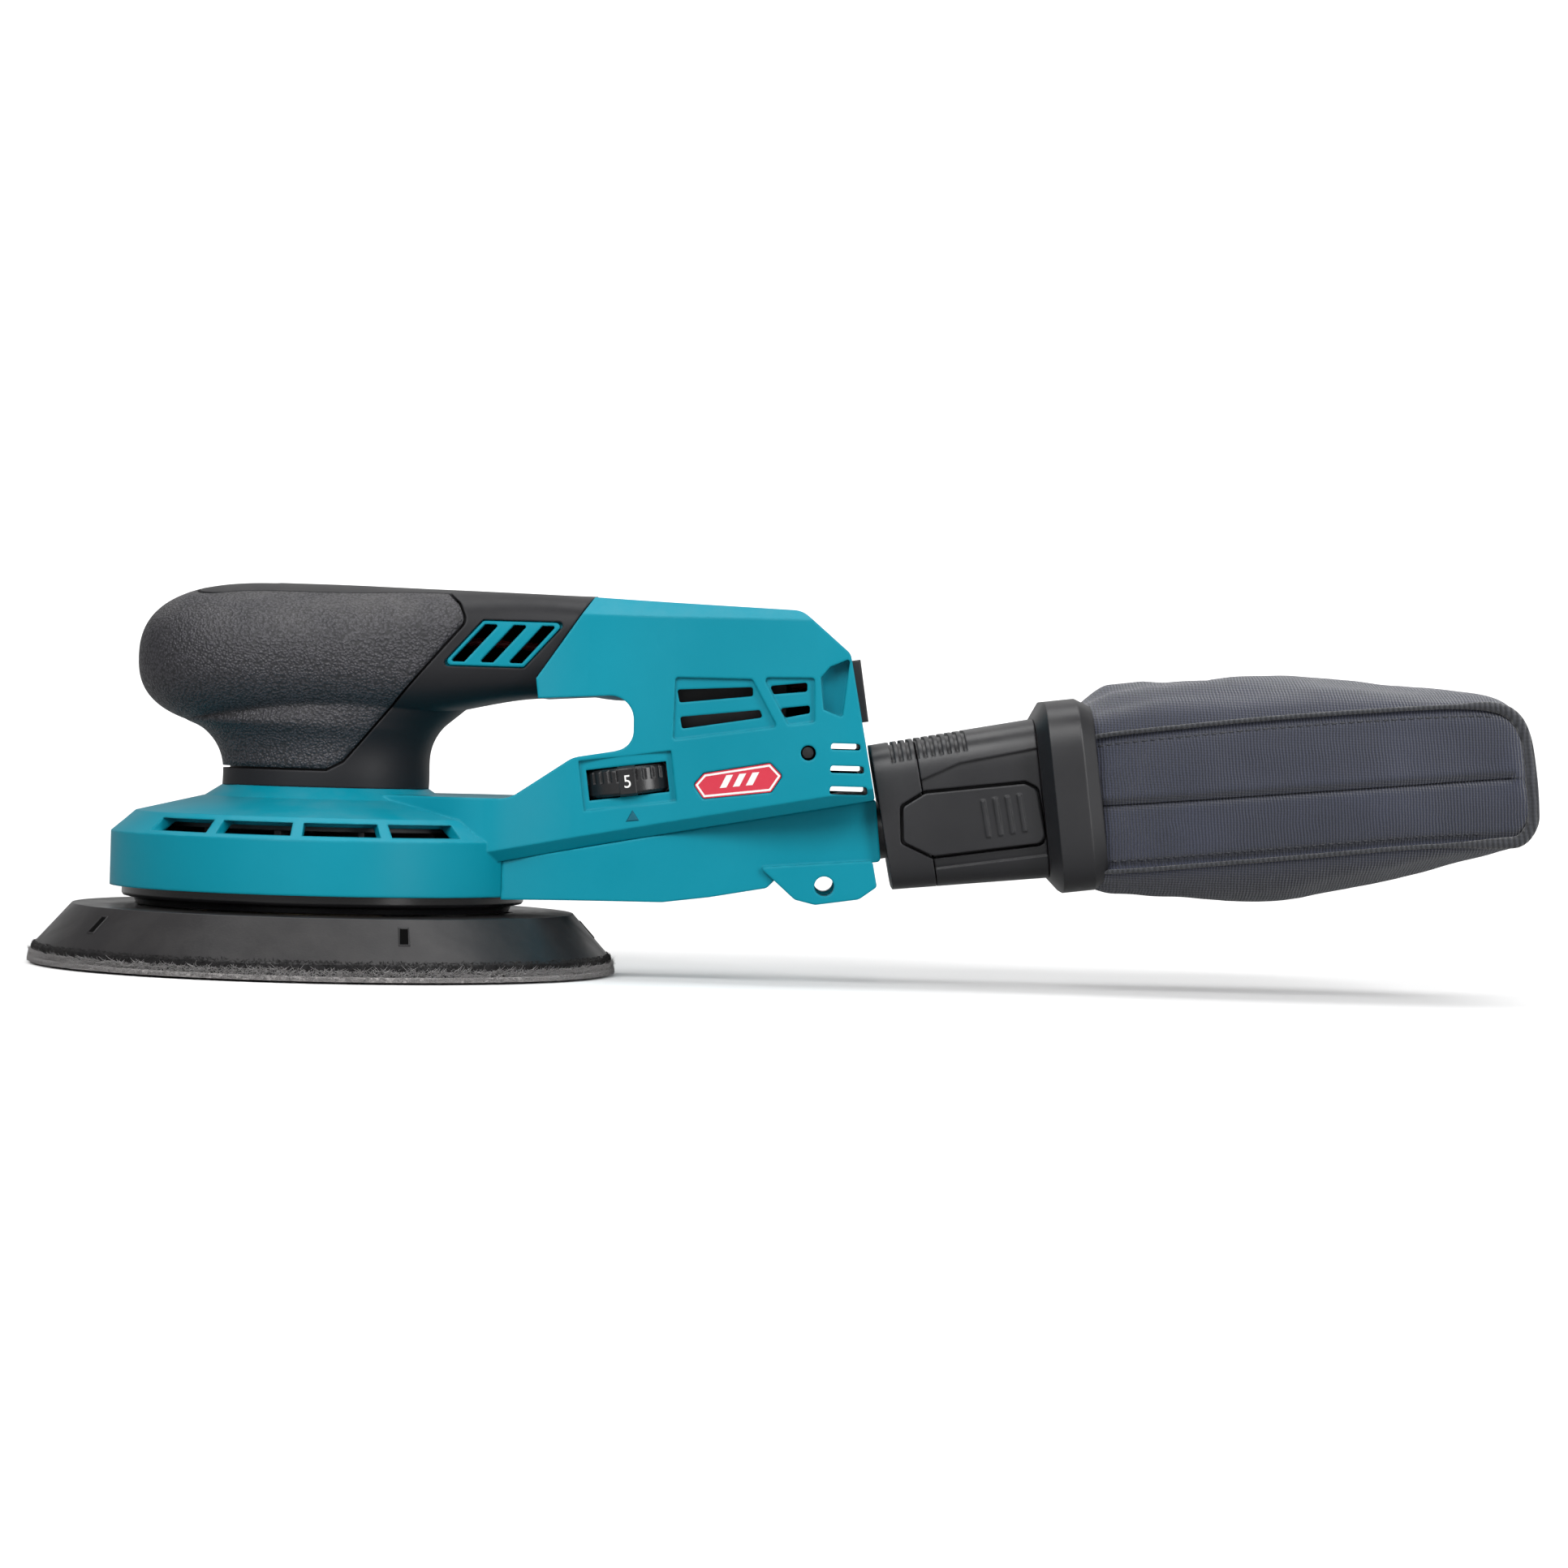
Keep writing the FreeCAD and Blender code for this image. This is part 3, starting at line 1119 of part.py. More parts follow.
def adapter_pieces():
    split = size("adapter_front")
    end = size("adapter_length") + 4.0
    collar_side = tilted(box((0.35, -FAR, -FAR), (FAR, FAR, FAR)), COLLAR_TILT, COLLAR_X, COLLAR_Z)
    pockets = latch_prism(0.8, POCKET_FLOOR, 60)
    pockets = pockets.fuse(mirrored(pockets, 1))
    path = nozzle_bar(0.05, -6, 60)
    seal_groove = nozzle_bar(1.6, 7.0, 9.4)
    grooves = [box((5.0 + 2.05 * i, -40, 13.5), (6.0 + 2.05 * i, 40, 30)) for i in range(10)]
    grooves = on_adapter(Part.makeCompound(grooves)).cut(adapter_block(-2, 50, 0.8))
    panel = side_prism([(9.0, -14.6, 0), (50, -16.2, 0), (50, 11.6, 0), (22.0, 10.8, 3), (9.0, 7.4, 0)], 60)
    panel = on_adapter(panel).cut(adapter_block(-2, 50, 0.9))
    front = adapter_block(0.2, split - GAP / 2, 0).cut([pockets, path, seal_groove, grooves])
    rear = adapter_block(split + GAP / 2, end, 0).cut([pockets, path, grooves, panel, collar_side])
    return front, rear


adapter_front, adapter_rear = adapter_pieces()
keep_shape(adapter_front, "adapter_front")
keep_shape(adapter_rear, "adapter_rear")
keep_shape(nozzle_bar(1.55, 7.05, 9.35).cut(nozzle_bar(0.06, 0, 20)), "nozzle_seal")
for side, name in ((-1, "left"), (1, "right")):
    keep_shape(latch(side), f"latch_{name}")
    keep_shape(latch_spring(side), f"latch_spring_{name}")

BAG_START = COLLAR_X + size("collar_length") - 4.4  # the bag's mouth is held this far inside the collar


def collar_loft(stations):
    """The collar's rounded block from (along, half width, half height) stations."""
    sections = [oval_wire(Vector(along, 0, 0), across, up, 5.0, Vector(0, 1, 0), Vector(0, 0, 1), 44)
                for along, across, up in stations]
    return tilted(Part.makeLoft(sections, True, True), COLLAR_TILT, COLLAR_X, COLLAR_Z)


def collar():
    across = size("collar_half_width")
    up = size("collar_half_height")
    length = size("collar_length")
    block = collar_loft([(0.5, across - 5, up - 4), (3.5, across, up), (length - 3.5, across, up),
                         (length, across - 2, up - 2.2)])
    mouth = collar_loft([(4.5, across - 8, up - 8), (length - 5, across - 5, up - 5),
                         (length + 5, across - 5, up - 5)])
    return block.cut(mouth).cut(nozzle_bar(0.05, 20, 60))


def bag_section(share, up, wide, lift, depth, trim=0.0):
    """One section of the bag, share of the way along it; trim shifts it along."""
    rise = math.tan(math.radians(size("bag_tilt")))
    along = share * (size("bag_length") + 3.9) + trim
    middle = Vector(BAG_START + along, 0, COLLAR_Z + 1.4 + rise * along + lift)
    return oval_wire(middle, wide - depth, up - depth, 3.6, Vector(0, 1, 0), Vector(0, 0, 1), 32)


def bag_mouth():
    """Half height and half width of the bag's mouth, inside the collar."""
    return size("collar_half_height") - 5.8, size("collar_half_width") - 5.8


def bag_loft(depth):
    """The bag's outer form, depth mm inside the cloth."""
    up, mouth = bag_mouth()
    across = size("bag_half_width")
    stations = [(0.0, up, mouth, 0), (0.042, up, mouth, 0), (0.085, 23.0, mouth + 2.5, 0.3),
                (0.135, 26.4, across - 3, 0.9), (0.21, 27.9, across - 1, 0.7), (0.34, 28.6, across, 0.0),
                (0.5, 27.4, across, -0.6), (0.65, 25.4, across - 0.6, -0.8), (0.8, 22.6, across - 2, -0.6),
                (0.9, 20.2, across - 6, 0.0), (0.965, 18.0, across - 15, 0.2), (1.0, 15.5, across - 25, 0.2)]
    wires = []
    for share, high, wide, lift in stations:
        trim = -2.0 if depth and share == 0 else 0.0
        if share == 1.0:
            trim = -depth
        wires.append(bag_section(share, high, wide, lift, depth, trim))
    return loft(wires)


def clamp_ring():
    """The ring that pins the bag's mouth inside the collar."""
    depth = size("cloth") + 0.15
    slab = box((BAG_START + 0.5, -FAR, -FAR), (BAG_START + 4.5, FAR, FAR))
    return bag_loft(depth).cut(bag_loft(depth + 1.6)).common(slab)


keep_shape(collar(), "bag_collar")
keep_shape(clamp_ring(), "clamp_ring")
keep_shape(bag_loft(0).cut(bag_loft(size("cloth"))), "dust_bag")

# ---------------------------------------------------------------- recompute, test and write
doc.recompute()
os.makedirs("parts", exist_ok=True)
for thing in doc.Objects:
    if "Invalid" in thing.State or "Error" in thing.State:
        raise RuntimeError(f"{thing.Label} did not build: {thing.State}")
for piece in PARTS:
    if piece.Shape.isNull() or not piece.Shape.isValid() or not piece.Shape.Solids:
        raise RuntimeError(f"{piece.Label} has no valid solid")
for piece in PARTS:
    piece.Shape.exportStep(f"parts/{piece.Label}.step")
    print(f"{piece.Label}: {len(piece.Shape.Solids)} solids, {piece.Shape.Volume / 1000:.2f} cm3")
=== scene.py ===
# %% [markdown]
# # A random orbital sander with a cloth dust bag
#
# The sander is already a set of named solids: mouldings, motor, pad, latches.  This lesson dresses them.
# Hard parts whose shape is right keep their solid and get a worked-out material.  Cloth, numbers,
# stitches and other fine things are modelled here as meshes.

# %% Load the frame
import math
import random

import bmesh
import bpy
from mathutils import Matrix, Vector, noise
from mathutils.bvhtree import BVHTree


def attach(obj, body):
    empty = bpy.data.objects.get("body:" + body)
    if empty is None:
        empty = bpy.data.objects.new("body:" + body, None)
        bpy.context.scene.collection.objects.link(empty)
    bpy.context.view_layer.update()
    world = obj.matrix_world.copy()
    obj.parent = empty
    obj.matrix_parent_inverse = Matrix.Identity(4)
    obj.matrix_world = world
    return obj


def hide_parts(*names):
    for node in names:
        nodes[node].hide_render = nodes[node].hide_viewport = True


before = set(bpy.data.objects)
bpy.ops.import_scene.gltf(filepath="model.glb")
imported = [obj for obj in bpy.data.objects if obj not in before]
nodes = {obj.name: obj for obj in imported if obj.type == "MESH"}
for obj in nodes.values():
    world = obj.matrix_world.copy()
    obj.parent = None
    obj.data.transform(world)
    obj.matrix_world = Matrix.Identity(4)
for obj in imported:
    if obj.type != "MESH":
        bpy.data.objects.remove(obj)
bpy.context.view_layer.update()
print("nodes in the frame:", len(nodes))

# %% [markdown]
# ## Units and small helpers
#
# The frame is in metres, but a power tool is easier to think about in millimetres, so every size below
# is in millimetres and `mm` turns it into metres where a mesh is made.

# %% A point and a mesh
MM = 0.001


def mm(x, y, z):
    """A point given in millimetres, in metres."""
    return Vector((x * MM, y * MM, z * MM))


def new_object(name, verts, faces, material, smooth=True):
    """A mesh object from points in millimetres."""
    mesh = bpy.data.meshes.new(name)
    mesh.from_pydata([tuple(c * MM for c in v) for v in verts], [], faces)
    mesh.validate()
    obj = bpy.data.objects.new(name, mesh)
    bpy.context.scene.collection.objects.link(obj)
    mesh.materials.append(material)
    for polygon in mesh.polygons:
        polygon.use_smooth = smooth
    return obj


print("one millimetre in metres:", MM)

# %% [markdown]
# ### Grids of quads
#
# Most of the meshes here are grids: rows of points joined by quads.  Each needs the same table of faces, so
# one function writes it.  Blender tells outside from inside by the order of a face's corners, and a second
# function sets that order for a whole mesh.

# %% Faces of a grid
def grid_faces(rows, columns, closed_columns=False, flip=False):
    """Quads over a grid of rows by columns of points, numbered row by row."""
    faces = []
    last = columns if closed_columns else columns - 1
    for i in range(rows - 1):
        for j in range(last):
            k = (j + 1) % columns
            quad = (i * columns + j, i * columns + k, (i + 1) * columns + k, (i + 1) * columns + j)
            faces.append(quad[::-1] if flip else quad)
    return faces


def outward(obj):
    """Turns every face to look outwards."""
    bm = bmesh.new()
    bm.from_mesh(obj.data)
    bmesh.ops.recalc_face_normals(bm, faces=bm.faces)
    bm.to_mesh(obj.data)
    bm.free()
    return obj


print("a grid of 3 by 4 points has faces:", len(grid_faces(3, 4)))

# %% [markdown]
# ### Round tubes
#
# Piping is a tube along a path.  A curve with a bevel would do too, but a mesh keeps its rings where they
# are put, and its radius may change along the way.

# %% A tube along points
TUBE_SIDES = 10


def tube(name, points, radius, material, sides=TUBE_SIDES):
    """A round tube along points in millimetres, with capped ends."""
    count = len(points)
    verts = []
    side = Vector((0, 1, 0))
    for i, point in enumerate(points):
        before = points[max(i - 1, 0)]
        after = points[min(i + 1, count - 1)]
        along = (Vector(after) - Vector(before)).normalized()
        side = (side - along * side.dot(along)).normalized()
        up = along.cross(side)
        r = radius(i / (count - 1)) if callable(radius) else radius
        for j in range(sides):
            angle = 2 * math.pi * j / sides
            verts.append(Vector(point) + side * (r * math.cos(angle)) + up * (r * math.sin(angle)))
    faces = grid_faces(count, sides, closed_columns=True)
    faces.append(tuple(range(sides))[::-1])
    faces.append(tuple((count - 1) * sides + j for j in range(sides)))
    return outward(new_object(name, verts, faces, material))


print("sides of a tube, unless told otherwise:", TUBE_SIDES)

# %% [markdown]
# ## Shared shader effects
#
# An effect that several finishes need, such as the fine grain of a mould or a softened edge, is a node
# group.  A group puts out only colours, masks and normals; the Principled shader stays in each material.

# %% A builder for node groups
def new_group(name, inputs, outputs):
    """A shader node group with sockets given as (name, kind, default)."""
    group = bpy.data.node_groups.new(name, "ShaderNodeTree")
    for label, kind, default in inputs:
        socket = group.interface.new_socket(label, in_out="INPUT", socket_type=kind)
        if default is not None:
            socket.default_value = default
    for label, kind in outputs:
        group.interface.new_socket(label, in_out="OUTPUT", socket_type=kind)
    start = group.nodes.new("NodeGroupInput")
    end = group.nodes.new("NodeGroupOutput")
    return group, start, end


def add(tree, kind, links=None, **settings):
    """A node with its settings; links maps its input sockets to values or to other nodes' outputs."""
    node = tree.nodes.new(kind)
    for key, value in settings.items():
        setattr(node, key, value)
    for key, value in (links or {}).items():
        if isinstance(value, bpy.types.NodeSocket):
            tree.links.new(value, node.inputs[key])
        else:
            node.inputs[key].default_value = value
    return node


def object_millimetres(tree):
    """The object's own coordinates, in millimetres."""
    place = add(tree, "ShaderNodeTexCoord")
    scaled = add(tree, "ShaderNodeVectorMath", {0: place.outputs["Object"], 1: (1 / MM, 1 / MM, 1 / MM)},
                 operation="MULTIPLY")
    return scaled.outputs[0]


FLOAT = "NodeSocketFloat"
VECTOR = "NodeSocketVector"
print("kinds of socket used by the groups:", FLOAT, VECTOR)

# %% [markdown]
# ### Moulded grain
#
# Injection-moulded plastic carries the spark-eroded texture of its steel mould: a very fine, even grain.
# Two noises of different size give its height; the same noise, stretched, varies the gloss a little.

# %% Group: moulded grain
def make_grain():
    group, start, end = new_group("Moulded grain", [
        ("Size", FLOAT, 0.5), ("Depth", FLOAT, 0.02), ("Soften", FLOAT, 0.5)],
        [("Normal", VECTOR), ("Variation", FLOAT)])
    millimetres = object_millimetres(group)
    inverse = add(group, "ShaderNodeMath", {0: 1.0, 1: start.outputs["Size"]}, operation="DIVIDE")
    fine = add(group, "ShaderNodeTexNoise", {"Vector": millimetres, "Scale": inverse.outputs[0],
                                             "Detail": 3.0, "Roughness": 0.6})
    soft_edge = add(group, "ShaderNodeBevel", samples=6)
    radius = add(group, "ShaderNodeMath", {0: start.outputs["Soften"], 1: MM}, operation="MULTIPLY")
    group.links.new(radius.outputs[0], soft_edge.inputs["Radius"])
    deep = add(group, "ShaderNodeMath", {0: start.outputs["Depth"], 1: MM}, operation="MULTIPLY")
    bump = add(group, "ShaderNodeBump", {"Height": fine.outputs["Fac"], "Distance": deep.outputs[0],
                                         "Strength": 1.0, "Normal": soft_edge.outputs["Normal"]})
    broad = add(group, "ShaderNodeTexNoise", {"Vector": millimetres, "Scale": 0.045, "Detail": 4.0})
    group.links.new(bump.outputs["Normal"], end.inputs["Normal"])
    group.links.new(broad.outputs["Fac"], end.inputs["Variation"])
    return group


GRAIN = make_grain()
print(GRAIN.name, "- nodes:", len(GRAIN.nodes))

# %% [markdown]
# ### Rubbed edges
#
# Hands and benches polish a tool's outer edges first.  The bevel node gives the normal that a rounded
# edge would have; where that differs from the flat face's normal there is an edge.

# %% Group: rubbed edges
def make_edges():
    group, start, end = new_group("Rubbed edges", [("Reach", FLOAT, 1.0), ("Amount", FLOAT, 1.0)],
                                  [("Mask", FLOAT)])
    radius = add(group, "ShaderNodeMath", {0: start.outputs["Reach"], 1: MM}, operation="MULTIPLY")
    rounded = add(group, "ShaderNodeBevel", {"Radius": radius.outputs[0]}, samples=6)
    geometry = add(group, "ShaderNodeNewGeometry")
    alike = add(group, "ShaderNodeVectorMath", {0: rounded.outputs["Normal"], 1: geometry.outputs["Normal"]},
                operation="DOT_PRODUCT")
    differ = add(group, "ShaderNodeMapRange", {"Value": alike.outputs["Value"], "From Min": 1.0,
                                               "From Max": 0.75, "To Min": 0.0, "To Max": 1.0})
    place = add(group, "ShaderNodeTexCoord")
    patchy = add(group, "ShaderNodeTexNoise", {"Vector": place.outputs["Object"], "Scale": 260.0,
                                               "Detail": 5.0})
    some = add(group, "ShaderNodeMapRange", {"Value": patchy.outputs["Fac"], "From Min": 0.38,
                                             "From Max": 0.62})
    both = add(group, "ShaderNodeMath", {0: differ.outputs[0], 1: some.outputs[0]}, operation="MULTIPLY")
    scaled = add(group, "ShaderNodeMath", {0: both.outputs[0], 1: start.outputs["Amount"]},
                 operation="MULTIPLY", use_clamp=True)
    group.links.new(scaled.outputs[0], end.inputs["Mask"])
    return group


EDGES = make_edges()
print(EDGES.name, "- nodes:", len(EDGES.nodes))

# %% [markdown]
# ### Settled dust
#
# A sander is never quite clean.  A thin film settles on faces that look up, in soft blotches.

# %% Group: settled dust
def make_dust():
    group, start, end = new_group("Settled dust", [("Amount", FLOAT, 0.2)], [("Mask", FLOAT)])
    geometry = add(group, "ShaderNodeNewGeometry")
    split = add(group, "ShaderNodeSeparateXYZ", {0: geometry.outputs["Normal"]})
    upward = add(group, "ShaderNodeMapRange", {"Value": split.outputs["Z"], "From Min": 0.1, "From Max": 1.0})
    place = add(group, "ShaderNodeTexCoord")
    blotches = add(group, "ShaderNodeTexNoise", {"Vector": place.outputs["Object"], "Scale": 70.0,
                                                 "Detail": 8.0, "Roughness": 0.65})
    spread = add(group, "ShaderNodeMapRange", {"Value": blotches.outputs["Fac"], "From Min": 0.4,
                                               "From Max": 0.75})
    both = add(group, "ShaderNodeMath", {0: upward.outputs[0], 1: spread.outputs[0]}, operation="MULTIPLY")
    scaled = add(group, "ShaderNodeMath", {0: both.outputs[0], 1: start.outputs["Amount"]},
                 operation="MULTIPLY", use_clamp=True)
    group.links.new(scaled.outputs[0], end.inputs["Mask"])
    return group


DUST = make_dust()
print(DUST.name, "- nodes:", len(DUST.nodes))

# %% [markdown]
# ## Moulded plastics
#
# One function makes every moulded plastic: a base colour that drifts slightly, a grain, rubbed edges and
# a trace of dust.  Teal body, black trim and grey inner parts are the same recipe with other numbers.

# %% Small helpers for materials
def mix_colour(tree, mask, under, over):
    node = tree.nodes.new("ShaderNodeMix")
    node.data_type = "RGBA"
    for socket, value in ((node.inputs[0], mask), (node.inputs[6], under), (node.inputs[7], over)):
        if isinstance(value, bpy.types.NodeSocket):
            tree.links.new(value, socket)
        else:
            socket.default_value = value
    return node.outputs[2]


def place_group(tree, group, **values):
    node = tree.nodes.new("ShaderNodeGroup")
    node.node_tree = group
    for key, value in values.items():
        node.inputs[key].default_value = value
    return node


def new_material(name):
    material = bpy.data.materials.new(name)
    material.use_nodes = True
    tree = material.node_tree
    return material, tree, tree.nodes["Principled BSDF"]


print("groups ready to be placed:", len(bpy.data.node_groups))

# %% [markdown]
# ### The recipe
#
# Settled dust lies over rubbed edges, and they lie over the base colour, as on the real thing.  The gloss
# drifts with the same broad noise as the colour, so that light breaks up on a large face.

# %% Material: moulded plastic
DUST_COLOUR = (0.52, 0.49, 0.45, 1.0)
EDGE_REACH = 0.9


def moulded(name, colour, rubbed, rough=(0.34, 0.46), grain=(0.35, 0.012), soften=0.5, wear=0.35, dust=0.12,
            coat=0.0, shine=0.5, under=None):
    """Moulded plastic; grain is its size and depth in millimetres, under is a second colour and its mask."""
    material, tree, shader = new_material(name)
    surface = place_group(tree, GRAIN, Size=grain[0], Depth=grain[1], Soften=soften)
    edges = place_group(tree, EDGES, Reach=EDGE_REACH, Amount=wear)
    film = place_group(tree, DUST, Amount=dust)
    darker = tuple(c * 0.9 for c in colour[:3]) + (1.0,)
    body = mix_colour(tree, surface.outputs["Variation"], darker, tuple(colour[:3]) + (1.0,))
    if under:
        body = mix_colour(tree, under[1](tree), body, under[0])
    worn = mix_colour(tree, edges.outputs["Mask"], body, tuple(rubbed[:3]) + (1.0,))
    dusty = mix_colour(tree, film.outputs["Mask"], worn, DUST_COLOUR)
    tree.links.new(dusty, shader.inputs["Base Color"])
    gloss = add(tree, "ShaderNodeMapRange", {"Value": surface.outputs["Variation"], "From Min": 0.3,
                                             "From Max": 0.7, "To Min": rough[0], "To Max": rough[1]})
    film_rough = add(tree, "ShaderNodeMath", {0: gloss.outputs[0], 1: film.outputs["Mask"]}, operation="ADD")
    tree.links.new(film_rough.outputs[0], shader.inputs["Roughness"])
    tree.links.new(surface.outputs["Normal"], shader.inputs["Normal"])
    shader.inputs["Specular IOR Level"].default_value = shine
    shader.inputs["Coat Weight"].default_value = coat
    shader.inputs["Coat Roughness"].default_value = 0.25
    return material


print("rubbed edges reach in, mm:", EDGE_REACH)

# %% [markdown]
# ### Black under the grip
#
# The teal housing runs on under the black grip, and would show at the grip's thin lower edge.  The real
# moulding is black there, so a mask in the object's own coordinates darkens it ahead of a slanted line.

# %% Mask: under the grip
GRIP_LEAN = 0.87
GRIP_REAR = (0.0292, 0.078)
GRIP_FLOOR = 0.0466


def under_grip(tree):
    """1 where the teal housing lies under the black grip, ahead of a slanted line, and 0 elsewhere."""
    place = add(tree, "ShaderNodeTexCoord")
    split = add(tree, "ShaderNodeSeparateXYZ", {0: place.outputs["Object"]})
    lean = add(tree, "ShaderNodeMath", {0: split.outputs["Z"], 1: -GRIP_LEAN, 2: split.outputs["X"]},
               operation="MULTIPLY_ADD")
    limit = GRIP_REAR[0] - GRIP_LEAN * GRIP_REAR[1]
    ahead = add(tree, "ShaderNodeMath", {0: lean.outputs[0], 1: limit}, operation="LESS_THAN")
    above = add(tree, "ShaderNodeMath", {0: split.outputs["Z"], 1: GRIP_FLOOR}, operation="GREATER_THAN")
    both = add(tree, "ShaderNodeMath", {0: ahead.outputs[0], 1: above.outputs[0]}, operation="MULTIPLY")
    return both.outputs[0]


print("the mask starts above, mm:", GRIP_FLOOR / MM)

# %% [markdown]
# ### The plastics
#
# Each plastic is now one line.  The second colour is the one that shows where an edge is rubbed.

# %% Materials: plastics
TEAL = moulded("Teal moulding", (0.0005, 0.225, 0.305), (0.02, 0.38, 0.48), rough=(0.36, 0.46), wear=0.35,
               soften=0.9, shine=0.16, dust=0.06, under=((0.012, 0.012, 0.013, 1), under_grip))
BLACK = moulded("Black moulding", (0.012, 0.012, 0.014), (0.05, 0.05, 0.055), rough=(0.33, 0.44), soften=0.7,
                dust=0.05)
COVER = moulded("Smooth handle cover", (0.011, 0.011, 0.013), (0.05, 0.05, 0.055), rough=(0.42, 0.52),
                soften=0.7, grain=(0.25, 0.01), dust=0.03, shine=0.25)
GREY = moulded("Glass-filled nylon", (0.09, 0.09, 0.095), (0.2, 0.2, 0.2), rough=(0.45, 0.6), dust=0.1)
DIAL = moulded("Dial black", (0.012, 0.012, 0.013), (0.05, 0.05, 0.055), rough=(0.22, 0.3),
               grain=(0.3, 0.006), dust=0.03)
RED = moulded("Badge red", (0.62, 0.03, 0.06), (0.7, 0.2, 0.22), rough=(0.2, 0.3), grain=(0.3, 0.004),
              soften=0.15, wear=0.1, dust=0.03, coat=0.4)
WHITE = moulded("Printed white", (0.82, 0.82, 0.8), (0.9, 0.9, 0.88), rough=(0.4, 0.5), grain=(0.3, 0.004),
                soften=0.05, wear=0.0, dust=0.03)
GREEN = moulded("Circuit board", (0.02, 0.2, 0.08), (0.1, 0.3, 0.15), rough=(0.3, 0.4))
WIRE = moulded("Silicone insulation", (0.35, 0.02, 0.02), (0.45, 0.1, 0.1), rough=(0.4, 0.5))
print("materials so far:", len(bpy.data.materials))

# %% [markdown]
# ## Grip elastomer
#
# The palm grip is a soft elastomer with a leather grain: rounded pebbles about a millimetre across with
# narrow valleys.  Voronoi cells give the pebbles, a noise breaks up their evenness.

# %% Material: leather-grained grip
GRIP_EDGE_RADIUS = 2.6
PEBBLE_HEIGHT = 0.2


def make_grip():
    material, tree, shader = new_material("Leather-grained grip")
    millimetres = object_millimetres(tree)
    wander = add(tree, "ShaderNodeTexNoise", {"Vector": millimetres, "Scale": 0.6, "Detail": 2.0})
    moved = add(tree, "ShaderNodeVectorMath", {0: wander.outputs["Color"], 1: (0.9, 0.9, 0.9),
                                               2: millimetres}, operation="MULTIPLY_ADD")
    pebbles = add(tree, "ShaderNodeTexVoronoi", {"Vector": moved.outputs[0], "Scale": 1.55,
                                                 "Smoothness": 0.5}, feature="SMOOTH_F1")
    fine = add(tree, "ShaderNodeTexNoise", {"Vector": millimetres, "Scale": 2.2, "Detail": 3.0})
    dome = add(tree, "ShaderNodeMapRange", {"Value": pebbles.outputs["Distance"], "From Min": 0.75,
                                            "From Max": 0.1})
    height = add(tree, "ShaderNodeMath", {0: fine.outputs["Fac"], 1: 0.35, 2: dome.outputs[0]},
                 operation="MULTIPLY_ADD")
    soft_edge = add(tree, "ShaderNodeBevel", {"Radius": GRIP_EDGE_RADIUS * MM}, samples=8)
    bump = add(tree, "ShaderNodeBump", {"Height": height.outputs[0], "Distance": PEBBLE_HEIGHT * MM,
                                        "Strength": 1.0,
                                        "Normal": soft_edge.outputs["Normal"]})
    film = place_group(tree, DUST, Amount=0.1)
    valley = mix_colour(tree, dome.outputs[0], (0.010, 0.010, 0.012, 1), (0.044, 0.042, 0.050, 1))
    dusty = mix_colour(tree, film.outputs["Mask"], valley, (0.4, 0.38, 0.35, 1))
    gloss = add(tree, "ShaderNodeMapRange", {"Value": dome.outputs[0], "To Min": 0.6, "To Max": 0.36})
    tree.links.new(dusty, shader.inputs["Base Color"])
    tree.links.new(gloss.outputs[0], shader.inputs["Roughness"])
    tree.links.new(bump.outputs["Normal"], shader.inputs["Normal"])
    shader.inputs["Specular IOR Level"].default_value = 0.45
    return material


GRIP = make_grip()
print("pebble height, mm:", PEBBLE_HEIGHT)

# %% [markdown]
# ## Rubber, metals, hooks and abrasive
#
# The pad is polyurethane rubber with faint swirls from its mould, which a distorted noise gives.  Metals
# are turned or cast; one function makes them all, because only colour, gloss and grain tell them apart.

# %% Materials: rubber and metals
def make_rubber():
    material, tree, shader = new_material("Pad rubber")
    surface = place_group(tree, GRAIN, Size=0.6, Depth=0.02, Soften=0.6)
    film = place_group(tree, DUST, Amount=0.06)
    place = add(tree, "ShaderNodeTexCoord")
    smears = add(tree, "ShaderNodeTexNoise", {"Vector": place.outputs["Object"], "Scale": 55.0, "Detail": 6.0,
                                              "Distortion": 1.2})
    dull = add(tree, "ShaderNodeMapRange", {"Value": smears.outputs["Fac"], "From Min": 0.35,
                                            "From Max": 0.65, "To Min": 0.30, "To Max": 0.42})
    base = mix_colour(tree, smears.outputs["Fac"], (0.012, 0.011, 0.012, 1), (0.018, 0.017, 0.018, 1))
    dusty = mix_colour(tree, film.outputs["Mask"], base, (0.3, 0.28, 0.26, 1))
    tree.links.new(dusty, shader.inputs["Base Color"])
    tree.links.new(dull.outputs[0], shader.inputs["Roughness"])
    tree.links.new(surface.outputs["Normal"], shader.inputs["Normal"])
    shader.inputs["Specular IOR Level"].default_value = 0.3
    return material


def metal(name, colour, rough, grain=(0.4, 0.01)):
    material, tree, shader = new_material(name)
    surface = place_group(tree, GRAIN, Size=grain[0], Depth=grain[1], Soften=0.2)
    gloss = add(tree, "ShaderNodeMapRange", {"Value": surface.outputs["Variation"], "To Min": rough[0],
                                             "To Max": rough[1]})
    darker = tuple(c * 0.8 for c in colour)
    tone = mix_colour(tree, surface.outputs["Variation"], darker + (1,), colour + (1,))
    tree.links.new(tone, shader.inputs["Base Color"])
    tree.links.new(gloss.outputs[0], shader.inputs["Roughness"])
    tree.links.new(surface.outputs["Normal"], shader.inputs["Normal"])
    shader.inputs["Metallic"].default_value = 1.0
    return material


